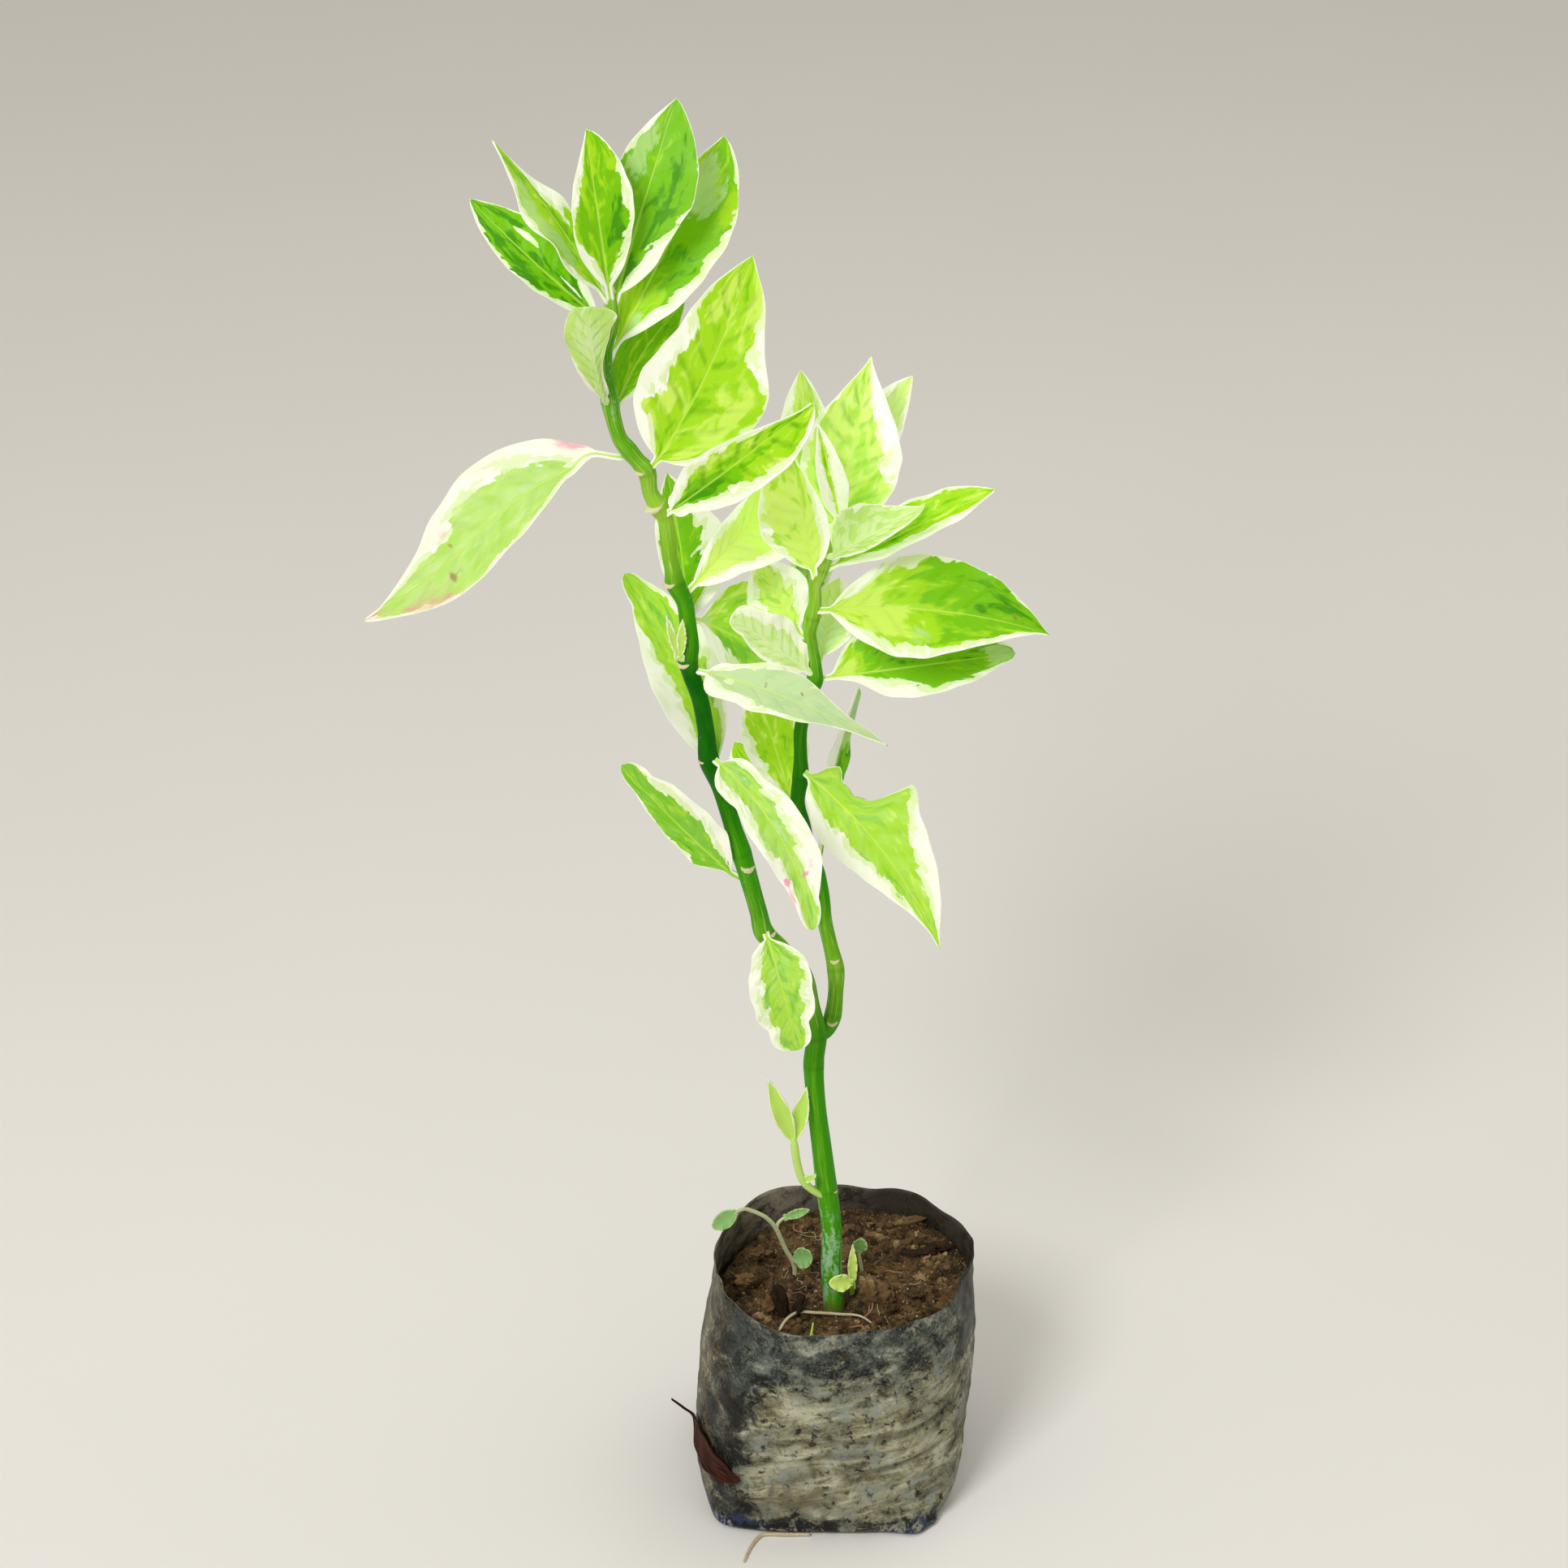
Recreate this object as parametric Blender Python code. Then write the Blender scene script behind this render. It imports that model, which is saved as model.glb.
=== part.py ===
# A young variegated devils backbone growing in a black plastic nursery bag.
# The tables below are in millimetres and degrees; meshes are made in metres.
# The origin is under the middle of the bag, +X to the right, +Y to the back, +Z up.

import math

import bpy
import numpy as np

MM = 0.001

# Sizes shared by many pieces, in millimetres
LEAF_THICKNESS = 0.8
LEAF_ROWS = 9
LEAF_HALF_COLUMNS = 2
STALK_HALF_WIDTH = 1.3
SEAT_GAP = 0.3
BAG_WALL = 1.0
BAG_HEIGHT = 93.0
SECTORS = 24
FACING = np.array([0.0, -0.87, 0.49])

# Main stem, then its two branches: centre x, y, z and radius
MAIN_STEM = [
    (3, -15, 58, 3.6), (3, -15, 82, 4.0), (2, -15, 100, 3.9), (2, -15, 117, 3.8),
    (0, -14, 135, 4.0), (-2, -14, 154, 3.7), (-4, -13, 172, 3.5), (-5, -12, 189, 3.7),
    (-4, -12, 202, 3.7), (-6, -13, 215, 3.2), (-9, -15, 230, 3.2), (-17, -17, 242, 3.2),
    (-23, -19, 250, 3.5), (-25, -20, 259, 3.2), (-27, -21, 268, 3.2), (-31, -22, 285, 3.5),
    (-34, -22, 296, 3.1), (-38, -22, 311, 3.1), (-42, -23, 323, 3.5), (-43, -22, 334, 3.0),
    (-45, -21, 346, 3.0), (-48, -20, 355, 3.1), (-49, -20, 361, 3.4), (-48, -20, 366, 2.9),
    (-49, -19, 375, 2.9), (-50, -18, 382, 2.9), (-53, -18, 389, 3.3), (-54, -18, 395, 2.8),
    (-55, -18, 401, 2.7), (-56, -18, 413, 2.8), (-58, -19, 418, 3.2), (-61, -19, 424, 2.7),
    (-62, -20, 432, 3.0), (-65, -20, 436, 2.8), (-68, -20, 440, 3.0), (-71, -19, 444, 2.6),
    (-73, -18, 451, 2.7), (-74, -18, 457, 3.0), (-75, -18, 467, 2.4), (-75, -18, 476, 2.4),
    (-73, -18, 484, 2.4), (-73, -17, 491, 2.2), (-73, -17, 496, 1.0),
]
RIGHT_BRANCH = [
    (-5, -13, 197, 2.0), (-3, -11, 201, 2.9), (0, -9, 203, 3.0), (2, -8, 208, 3.1),
    (3, -5, 216, 2.8), (3, -2, 224, 3.1), (1, 0, 233, 2.7), (-1, 2, 242, 2.7),
    (-2, 3, 252, 2.7), (-4, 4, 261, 2.9), (-7, 5, 271, 2.6), (-9, 6, 280, 2.7),
    (-11, 7, 289, 2.6), (-10, 8, 299, 2.9), (-10, 8, 308, 2.4), (-10, 8, 318, 2.4),
    (-8, 9, 327, 2.4), (-6, 10, 333, 2.5), (-5, 10, 337, 2.9), (-5, 10, 343, 2.4),
    (-6, 10, 349, 2.3), (-7, 10, 356, 2.5), (-6, 10, 362, 2.8), (-5, 10, 368, 2.3),
    (-5, 10, 375, 2.3), (-3, 11, 380, 2.7), (-1, 12, 386, 2.3), (2, 12, 391, 2.4),
    (5, 11, 395, 1.2),
]


def leaf(name, base, reach, halves, widest=(0.45, 0.45), bow=0.0, sweep=0.0, ess=0.0,
         roll=0.0, fold=(15, 15), power=0.9, stalk=4.0, wave=0.8, bite=0.0):
    """One leaf: base and reach of its midrib, half widths, arch, S bend, turn and fold."""
    return {
        "name": name, "base": base, "reach": reach, "halves": halves, "widest": widest,
        "bow": bow, "sweep": sweep, "ess": ess, "roll": roll, "fold": fold,
        "power": power, "stalk": stalk, "wave": wave, "bite": bite,
    }


# Leaves of the left branch, from the lowest up
LEAVES = [
    leaf("left_leaf_01_small_hanging", (-23, -21, 253), (12, -18, -40), (12, 12),
         widest=(0.36, 0.42), bow=3, sweep=-0.5, power=0.85),
    leaf("left_leaf_02_side", (-32, -22, 274), (-41, 8, 42), (6.5, 16),
         bow=3, sweep=1, roll=-35),
    leaf("left_leaf_03_front_drooping", (-41, -25, 325), (35, -27, -54), (9.5, 9.5),
         bow=5, sweep=-5, roll=-20),
    leaf("left_leaf_04_back_upright", (-39, -19, 314), (-33, 37, 61), (14, 13.5),
         widest=(0.42, 0.5), bow=4, sweep=3, roll=18),
    leaf("left_leaf_05_pale_crossing", (-46, -21, 357), (66, -12, -23), (10.5, 12),
         widest=(0.36, 0.36), bow=6, sweep=2, roll=-40, power=0.75),
    leaf("left_leaf_06_back_right", (-47, -16, 375), (33, 49, -46), (22, 16),
         widest=(0.42, 0.45), bow=3, roll=-20, fold=(5, 5)),
    leaf("left_leaf_07_behind", (-49, -17, 370), (-8, 46, 39), (10, 17), bow=3, roll=25),
    leaf("left_leaf_08_centre", (-50, -16, 384), (33, 46, 22), (9, 17),
         widest=(0.45, 0.62), bow=4, roll=25),
    leaf("left_leaf_09_folded", (-56, -20, 416), (50, -19, 50), (11, 15),
         widest=(0.35, 0.62), bow=3, sweep=1, fold=(35, 35)),
    leaf("left_leaf_10_broad", (-60, -21, 434), (34, 8, 73), (21.5, 22.5),
         widest=(0.4, 0.38), bow=2, sweep=3, power=0.65, stalk=7),
    leaf("left_leaf_11_long_drooping", (-70.5, -20.5, 438), (-88.5, -10.5, -57), (14.5, 18.5),
         widest=(0.52, 0.36), bow=6, sweep=2.5, ess=3.5, power=1.05, roll=15, stalk=8),
    leaf("left_leaf_12_cupped", (-75, -20, 457), (-5, -13, 40), (9, 10),
         widest=(0.6, 0.6), bow=-4, roll=165, power=0.5),
    leaf("left_leaf_13_dark", (-73, -16, 451), (24, 23, 31), (10, 9), sweep=-3, roll=20),
    leaf("left_top_leaf_1", (-73, -15, 473), (37, 33, 64), (15, 17.5),
         widest=(0.42, 0.56), bow=2, sweep=0, roll=10),
    leaf("left_top_leaf_2", (-72, -16, 490), (21, 20, 65), (14, 17),
         widest=(0.46, 0.52), bow=2, roll=-5),
    leaf("left_top_leaf_3", (-73, -18, 493), (-7, 4, 58), (9, 12.5),
         widest=(0.42, 0.56), bow=2),
    leaf("left_top_leaf_4", (-74, -18, 492), (-37, 10, 53), (11, 10.5),
         widest=(0.45, 0.32), bow=2, roll=52, fold=(5, 5)),
    leaf("left_top_leaf_5", (-74, -16, 483), (-46, 20, 37), (9, 10.5),
         widest=(0.5, 0.5), bow=2, sweep=-2, roll=20),
    leaf("right_leaf_01_edge_on", (-3, 8, 263), (14, 19, 62), (6, 6),
         widest=(0.5, 0.5), sweep=-4, roll=78, fold=(10, 10)),
    leaf("right_leaf_02_back", (-12, 9, 284), (-15, 19, 45), (11, 13), widest=(0.5, 0.5)),
    leaf("right_leaf_03_back_low", (-10, 7, 281), (-24, 28, 17), (11, 11),
         widest=(0.5, 0.5)),
    leaf("right_leaf_04_bitten", (-9, 6, 302), (49, -28, -57), (19, 15),
         widest=(0.36, 0.3), bow=4, sweep=-5, power=0.7, bite=0.6),
    leaf("right_leaf_05_underside", (-6, 9, 340), (-28, -20, 33), (11, 6),
         roll=180, fold=(10, 10)),
    leaf("right_leaf_06_lower", (-3, 11, 337), (69, 2, 9), (17, 12),
         widest=(0.3, 0.48), roll=-10),
    leaf("right_leaf_07_inner", (-9, 9, 354), (-17, 5, 28), (11, 12), widest=(0.5, 0.5)),
    leaf("right_leaf_08_broad", (-4, 8, 365), (81, -8, -5), (19.5, 19),
         widest=(0.45, 0.38), bow=3, sweep=-4, roll=-10),
    leaf("right_leaf_09_behind_stem", (-6, 13, 362), (0, 15, 30), (8, 8),
         widest=(0.5, 0.5)),
    leaf("right_leaf_10_upright", (-5, 9, 377), (-9, -9, 56), (16, 8.5),
         widest=(0.5, 0.35)),
    leaf("right_leaf_11_folded", (-2, 12, 379), (59, -6, 34), (10, 10),
         widest=(0.58, 0.55), roll=-30, fold=(30, 30)),
    leaf("right_leaf_12_pale_front", (0.5, 9.5, 385), (31.5, -20, 30), (4, 12.5),
         widest=(0.5, 0.32), bow=-5, roll=180, fold=(5, 5), power=0.6),
    leaf("right_leaf_13_pale_behind", (-4, 13, 340), (8, 20, 26), (9, 10), widest=(0.5, 0.5)),
    leaf("right_top_bud_leaf", (4.5, 11.5, 394), (-9, -7, 45), (6, 7),
         widest=(0.45, 0.45), fold=(40, 40)),
    leaf("right_top_leaf_1", (2, 13, 390), (12, 9, 66), (18, 18), widest=(0.4, 0.4)),
    leaf("right_top_leaf_2", (3, 13, 386), (26, 29, 54), (12, 8),
         widest=(0.5, 0.5), sweep=-3),
    leaf("right_top_leaf_3", (-1, 13, 384), (-9, 34, 56), (12, 9),
         widest=(0.5, 0.5)),
]

# Leaf blade


def unit(vector):
    """The vector made one long."""
    return vector / np.linalg.norm(vector)


def midrib_frames(item, along):
    """Midrib points with the upper face and right hand directions of a leaf."""
    reach = np.array(item["reach"], float)
    axis = unit(reach)
    front = unit(FACING - axis * (FACING @ axis))
    side = np.cross(axis, front)
    turn = math.radians(item["roll"])
    up = front * math.cos(turn) + side * math.sin(turn)
    right = np.cross(axis, up)
    offset = up * item["bow"] + right * item["sweep"]
    points = np.array(item["base"], float) + np.outer(along, reach)
    points = points + np.outer(4 * along * (1 - along), offset)
    bend = 2 * math.pi * along
    points = points + np.outer(np.sin(bend), right * item["ess"])
    tangent = reach + np.outer(4 - 8 * along, offset)
    tangent = tangent + np.outer(2 * math.pi * np.cos(bend), right * item["ess"])
    tangent /= np.linalg.norm(tangent, axis=1)[:, None]
    ups = up - tangent * (tangent @ up)[:, None]
    ups /= np.linalg.norm(ups, axis=1)[:, None]
    return points, ups, np.cross(tangent, ups)


def half_width(item, along, side):
    """Width of one half of the blade at each place along the midrib."""
    length = np.linalg.norm(item["reach"])
    start = item["stalk"] / length
    place = np.clip((along - start) / (1 - start), 0, 1)
    middle = item["widest"][side]
    rise = item["power"]
    fall = rise * (1 - middle) / middle
    shape = place ** rise * (1 - place) ** fall / (middle ** rise * (1 - middle) ** fall)
    width = item["halves"][side] * shape
    if item["bite"] and side == 0:
        width = width * (1 - item["bite"] * np.clip(1 - ((along - 0.2) / 0.12) ** 2, 0, 1) ** 0.7)
    return np.maximum(width, STALK_HALF_WIDTH * (along < 0.3))


def blade_grid(item, rows, half_columns):
    """Points of the blade in rows from base to tip, left edge to right edge."""
    along = np.linspace(0, 1, rows + 1)
    points, ups, rights = midrib_frames(item, along)
    across = np.linspace(-1, 1, 2 * half_columns + 1)
    grid = np.zeros((rows + 1, len(across), 3))
    for column, place in enumerate(across):
        side = 0 if place < 0 else 1
        width = half_width(item, along, side)
        angle = math.radians(item["fold"][side])
        reach = abs(place) * math.cos(angle) * (-1 if side == 0 else 1)
        lift = abs(place) * math.sin(angle) * width
        phase = 2.6 if side == 0 else 0.8
        ripple = item["wave"] * np.sin(4 * math.pi * along + phase) * place ** 2
        lift = lift + ripple * width / max(item["halves"])
        grid[:, column] = points + rights * (reach * width)[:, None] + ups * lift[:, None]
    return grid


def grid_normals(grid):
    """Unit normals of a grid of points, toward the upper face."""
    down = np.gradient(grid, axis=0)
    over = np.gradient(grid, axis=1)
    normals = np.cross(over, down)
    normals[-1] = normals[-2]
    lengths = np.linalg.norm(normals, axis=2)[:, :, None]
    return normals / np.maximum(lengths, 1e-9)


def blade_solid(grid, thickness):
    """Closed solid of a blade; both faces are split into triangles alike."""
    rows, columns = grid.shape[0] - 1, grid.shape[1]
    normals = grid_normals(grid)
    upper = grid + normals * thickness / 2
    lower = grid - normals * thickness / 2
    middle = columns // 2
    points = [*upper[:rows].reshape(-1, 3), upper[rows, middle]]
    count = len(points)
    points += [*lower[:rows].reshape(-1, 3), lower[rows, middle]]
    tip = rows * columns
    faces = []
    for row in range(rows - 1):
        for column in range(columns - 1):
            a = row * columns + column
            b, c, d = a + 1, a + columns + 1, a + columns
            if column < middle:
                faces += [(a, b, d), (b, c, d)]
            else:
                faces += [(a, b, c), (a, c, d)]
    last = (rows - 1) * columns
    faces += [(last + k, last + k + 1, tip) for k in range(columns - 1)]
    faces += [(c + count, b + count, a + count) for a, b, c in list(faces)]
    edge = list(range(columns))
    edge += [row * columns + columns - 1 for row in range(1, rows)]
    edge.append(tip)
    edge += [row * columns for row in range(rows - 1, 0, -1)]
    for a, b in zip(edge, edge[1:] + edge[:1]):
        faces += [(b, a, a + count), (b, a + count, b + count)]
    return np.array(points), faces


# Stems and other round pieces


def tube_solid(rows, sides, grow=0.0):
    """Closed tube through rows of x, y, z, radius, made wider by grow."""
    centres = np.array([row[:3] for row in rows], float)
    radii = np.array([row[3] for row in rows], float) + grow
    tangents = np.gradient(centres, axis=0)
    tangents /= np.linalg.norm(tangents, axis=1)[:, None]
    centres[0] -= tangents[0] * grow
    centres[-1] += tangents[-1] * grow
    hand = unit(np.cross(tangents[0], (0.0, 1.0, 0.1)))
    points, faces = [], []
    for centre, tangent, radius in zip(centres, tangents, radii):
        hand = unit(hand - tangent * (hand @ tangent))
        other = np.cross(tangent, hand)
        for step in range(sides):
            turn = 2 * math.pi * step / sides
            points.append(centre + radius * (hand * math.cos(turn) + other * math.sin(turn)))
    for row in range(len(centres) - 1):
        for step in range(sides):
            a = row * sides + step
            b = row * sides + (step + 1) % sides
            faces += [(a, b, b + sides), (a, b + sides, a + sides)]
    points += [centres[0], centres[-1]]
    first, last = len(points) - 2, len(points) - 1
    top = (len(centres) - 1) * sides
    for step in range(sides):
        after = (step + 1) % sides
        faces += [(after, step, first), (top + step, top + after, last)]
    return np.array(points), faces


def add_mesh(name, points, faces):
    """A new object from points in millimetres."""
    mesh = bpy.data.meshes.new(name)
    mesh.from_pydata([tuple(p) for p in np.asarray(points) * MM], [], faces)
    mesh.update()
    item = bpy.data.objects.new(name, mesh)
    bpy.context.scene.collection.objects.link(item)
    return item


def combine(target, others, operation, solver="MANIFOLD"):
    """Boolean of the target with a list of objects, applied; the others are removed."""
    group = bpy.data.collections.new("cutters")
    bpy.context.scene.collection.children.link(group)
    for other in others:
        group.objects.link(other)
    step = target.modifiers.new("step", "BOOLEAN")
    step.operation = operation
    step.solver = solver
    step.operand_type = "COLLECTION"
    step.collection = group
    bpy.context.view_layer.update()
    graph = bpy.context.evaluated_depsgraph_get()
    result = bpy.data.meshes.new_from_object(target.evaluated_get(graph))
    target.modifiers.clear()
    target.data = result
    for other in others:
        bpy.data.objects.remove(other)
    bpy.data.collections.remove(group)
    return target


def stem_cutter(name, grow):
    """The stem and its branches made wider by grow, as separate closed tubes."""
    main = add_mesh(name + "_main", *tube_solid(MAIN_STEM, 8, grow))
    right = add_mesh(name + "_right", *tube_solid(RIGHT_BRANCH, 8, grow))
    return [main, right]


def add_stem():
    """Main stem and both branches grown as one piece."""
    main = add_mesh("stem", *tube_solid(MAIN_STEM, 8))
    right = add_mesh("right_branch", *tube_solid(RIGHT_BRANCH, 8))
    return combine(main, [right], "UNION")


def add_leaf(item):
    """One leaf seated against the stem."""
    grid = blade_grid(item, LEAF_ROWS, LEAF_HALF_COLUMNS)
    blade = add_mesh(item["name"], *blade_solid(grid, LEAF_THICKNESS))
    return combine(blade, stem_cutter("seat", SEAT_GAP), "DIFFERENCE")


# Nursery bag: height, centre x, centre y, half width, half depth and squareness of its rings
BAG_RINGS = [
    (0.0, 0.5, -1.5, 45.0, 47.0, 4.2), (2.0, 0.5, -1.5, 47.5, 49.5, 4.0),
    (8.0, 1.0, -1.0, 50.0, 51.0, 3.6), (20.0, 2.0, -0.5, 51.8, 51.5, 3.1),
    (40.0, 3.5, 0.0, 52.3, 52.0, 2.7), (60.0, 5.0, 0.0, 52.0, 51.5, 2.4),
    (78.0, 6.3, 0.0, 51.0, 50.5, 2.2), (93.0, 7.0, 0.0, 50.0, 50.0, 2.0),
]
# Radius of the wavy rim every 15 degrees, turning from +X toward +Y
RIM_RADII = [
    50.0, 52.0, 51.0, 50.5, 53.0, 49.0, 48.0, 50.0, 53.0, 52.0, 50.0, 49.5,
    50.0, 49.0, 50.5, 53.0, 54.0, 52.5, 50.0, 48.5, 48.0, 48.5, 47.5, 46.5,
]
# Height of the rim above or below its mean every 30 degrees
RIM_HEIGHTS = [0.5, 0.0, -1.0, 0.5, 0.0, 1.0, 0.0, -0.5, 0.5, 1.0, 0.0, -0.5]


def rim_height(sector):
    """Height of the rim at one of the sectors."""
    before = RIM_HEIGHTS[sector // 2]
    after = RIM_HEIGHTS[(sector + 1) // 2 % len(RIM_HEIGHTS)]
    return BAG_HEIGHT + (before + after) / 2


def bag_point(sector, height, inset):
    """A point on the bag wall, moved inward by inset."""
    heights = [ring[0] for ring in BAG_RINGS]
    centre_x = np.interp(height, heights, [ring[1] for ring in BAG_RINGS])
    centre_y = np.interp(height, heights, [ring[2] for ring in BAG_RINGS])
    turn = 2 * math.pi * sector / SECTORS
    radii = []
    for _, _, _, half_x, half_y, power in BAG_RINGS[:-1]:
        share = abs(math.cos(turn) / half_x) ** power + abs(math.sin(turn) / half_y) ** power
        radii.append(share ** (-1 / power))
    rim = np.interp(sector % SECTORS, range(SECTORS + 1), RIM_RADII + RIM_RADII[:1])
    radii.append(rim)
    radius = np.interp(height, heights, radii) - inset
    return (centre_x + radius * math.cos(turn), centre_y + radius * math.sin(turn), height)


def lathe_faces(rings, mirrored=False):
    """Faces that join rings of SECTORS points in order, each to the next."""
    faces = []
    for ring in range(rings - 1):
        for sector in range(SECTORS):
            a = ring * SECTORS + sector
            b = ring * SECTORS + (sector + 1) % SECTORS
            c, d = b + SECTORS, a + SECTORS
            faces += [(a, b, d), (b, c, d)] if mirrored else [(a, b, c), (a, c, d)]
    return faces


def add_bag():
    """Open bag with a flat bottom, a thin wall and a wavy rim."""
    heights = [ring[0] for ring in BAG_RINGS[:-1]]
    points = [(0.5, -1.0, 0.0)]
    for height in heights:
        points += [bag_point(sector, height, 0.0) for sector in range(SECTORS)]
    for inset in (0.0, BAG_WALL):
        for sector in range(SECTORS):
            x, y, _ = bag_point(sector, BAG_HEIGHT, inset)
            points.append((x, y, rim_height(sector)))
    inner = [height for height in reversed(heights) if height > BAG_WALL]
    inner.append(BAG_WALL)
    for height in inner:
        inset = BAG_WALL if height > BAG_WALL else 2.5
        points += [bag_point(sector, height, inset) for sector in range(SECTORS)]
    points.append((0.5, -1.0, BAG_WALL))
    rings = len(heights) + 2 + len(inner)
    faces = [(a + 1, b + 1, c + 1) for a, b, c in lathe_faces(rings)]
    last = len(points) - 1
    top = 1 + (rings - 1) * SECTORS
    for sector in range(SECTORS):
        after = (sector + 1) % SECTORS
        faces += [(0, 1 + after, 1 + sector), (last, top + sector, top + after)]
    return add_mesh("grow_bag", points, faces)


# Soil: lumps and dips as x, y, height and spread
SOIL_LUMPS = [
    (18, -11, 5.0, 6), (26, -4, 2.0, 6), (2, -15, -1.5, 9), (-10, -22, 1.5, 8),
    (28, 18, 2.0, 9), (4, 26, 2.0, 10), (-34, 14, -10.0, 20), (-22, -26, 1.0, 8),
    (34, -20, -2.0, 9), (-14, 4, -1.0, 8), (12, 38, 1.5, 8),
]
SOIL_LEVEL = 81.0


def soil_height(x, y):
    """Height of the soil surface."""
    height = SOIL_LEVEL + 0.02 * x
    for lump_x, lump_y, lump, spread in SOIL_LUMPS:
        distance = (x - lump_x) ** 2 + (y - lump_y) ** 2
        height += lump * math.exp(-distance / (2 * spread ** 2))
    return height


def add_soil(cutters):
    """Filling of the bag with plain holes for what stands in it."""
    inset = BAG_WALL + 0.9
    heights = [1.5, 8.0, 20.0, 40.0, 60.0]
    points = [(0.5, -1.0, 1.5)]
    for height in heights:
        extra = 1.8 if height < 2 else 0.0
        points += [bag_point(sector, height, inset + extra) for sector in range(SECTORS)]
    edges = [bag_point(sector, 78.0, inset) for sector in range(SECTORS)]
    levels = [soil_height(x, y) for x, y, _ in edges]
    below = [min(78.0, level - 1.0) for level in levels]
    points += [bag_point(sector, below[sector], inset) for sector in range(SECTORS)]
    points += [bag_point(sector, levels[sector], inset) for sector in range(SECTORS)]
    shares = [0.85, 0.68, 0.5, 0.32, 0.15]
    for share in shares:
        for x, y, _ in edges:
            x = 6.5 + (x - 6.5) * share
            points.append((x, y * share, soil_height(x, y * share)))
    points.append((6.5, 0.0, soil_height(6.5, 0.0)))
    rings = len(heights) + 2 + len(shares)
    faces = [(a + 1, b + 1, c + 1) for a, b, c in lathe_faces(rings, mirrored=True)]
    last = len(points) - 1
    top = 1 + (rings - 1) * SECTORS
    for sector in range(SECTORS):
        after = (sector + 1) % SECTORS
        faces += [(0, 1 + after, 1 + sector), (last, top + sector, top + after)]
    return combine(add_mesh("soil", points, faces), cutters, "DIFFERENCE")


# Small shoots and seedlings: stalks as x, y, z, radius, and their leaflets
BASAL_SHOOT = [
    (-1, -16, 133, 1.2), (-5, -18, 137, 1.4), (-9, -20, 143, 1.5), (-11, -21, 151, 1.5),
    (-12, -22, 159, 1.5), (-12.5, -22, 164, 1.0),
]
BASAL_LEAFLETS = [
    leaf("", (-12, -22, 160), (-10, -2, 31), (3.6, 3.6), stalk=1, wave=0, fold=(20, 20)),
    leaf("", (-12.5, -22, 160), (5, 6, 22), (3.2, 3.2), stalk=1, wave=0, fold=(20, 20)),
    leaf("", (-9, -20, 142), (5, -2, 5), (1.6, 1.6), stalk=1, wave=0),
]
NODE_SHOOT = [(-48, -20, 361, 1.2), (-51, -22, 362, 1.2), (-52, -23.5, 364, 0.8)]
NODE_LEAFLETS = [
    leaf("", (-52, -23, 362), (-4, -3, 19), (1.4, 1.4), stalk=1, wave=0, fold=(10, 10)),
    leaf("", (-51.5, -23, 362), (1, -2, 17), (1.6, 1.6), stalk=1, wave=0, fold=(10, 10)),
]
SPROUT = [
    (10, -8, 74, 0.9), (10, -8, 82, 0.9), (10, -11, 87, 0.9), (10, -13, 90, 0.8),
    (9.5, -18, 95, 0.7),
]
SPROUT_LEAFLETS = [
    leaf("", (10, -17, 94), (-9, -5, 3.5), (3.4, 3.4), stalk=1, wave=0, power=0.5),
    leaf("", (10, -12, 88), (0, 0, 20), (2.0, 2.0), stalk=1, wave=0, fold=(30, 30)),
]
SEEDLING = [(14, 2, 74, 0.7), (14, 2, 84, 0.7), (13, 1, 92, 0.7), (12.5, 0, 97, 0.6)]
SEEDLING_LEAFLETS = [
    leaf("", (12.5, 0, 96), (1, -1, 7), (3.0, 3.0), stalk=0.5, wave=0, power=0.5),
]
WEED = [
    (-12, 13, 70, 0.8), (-12, 13, 80, 0.9), (-15.5, 12, 89, 0.9), (-19, 11, 99, 0.9),
    (-23, 10, 105, 0.8), (-29, 9, 109, 0.8), (-32, 8, 110, 0.7), (-35, 8, 108, 0.6),
]
WEED_TWIG = [(-19, 11, 98, 0.7), (-18, 12, 101, 0.7), (-15, 13.5, 103, 0.6)]
WEED_STALK = [(-12, 13, 80, 0.7), (-12, 12, 83, 0.7), (-11.5, 11, 85, 0.6)]
WEED_LEAFLETS = [
    leaf("", (-34, 8, 109), (-9, -1, -7), (3.4, 3.4), stalk=0.5, wave=0, power=0.5),
    leaf("", (-16, 13, 102.5), (10, 2, 2.5), (1.8, 1.8), stalk=0.5, wave=0, power=0.7),
    leaf("", (-12, 11, 84.5), (7, -2, 3), (4.2, 4.2), stalk=0.5, wave=0, power=0.4),
]
ROOTLET = [
    (-19, -32, 78, 0.7), (-16, -26, 82, 0.7), (-11, -21, 83, 0.7), (-4, -21, 83, 0.7),
    (5, -22, 83, 0.7), (13, -24, 84, 0.7), (20, -27, 79, 0.7),
]
GRASS = [(-6, -36, 76, 0.8), (-6, -36, 81, 0.8), (-5, -34, 88, 0.3)]
GROUND_ROOT = [
    (-6, -51.3, 1.0, 0.7), (-15, -51.4, 1.0, 0.8), (-23, -51.2, 1.0, 0.8),
    (-26, -53.5, 1.0, 0.8), (-29, -60, 1.0, 0.7), (-31, -67, 1.0, 0.6),
]


def add_shoot(name, stalks, leaflets, cutters=()):
    """Stalks with their leaflets joined into one solid."""
    body = add_mesh(name, *tube_solid(stalks[0], 6))
    parts = [add_mesh("stalk", *tube_solid(rows, 6)) for rows in stalks[1:]]
    for item in leaflets:
        grid = blade_grid(item, 6, 1)
        parts.append(add_mesh("leaflet", *blade_solid(grid, LEAF_THICKNESS)))
    if parts:
        combine(body, parts, "UNION")
    if cutters:
        combine(body, list(cutters), "DIFFERENCE")
    return body


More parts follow.
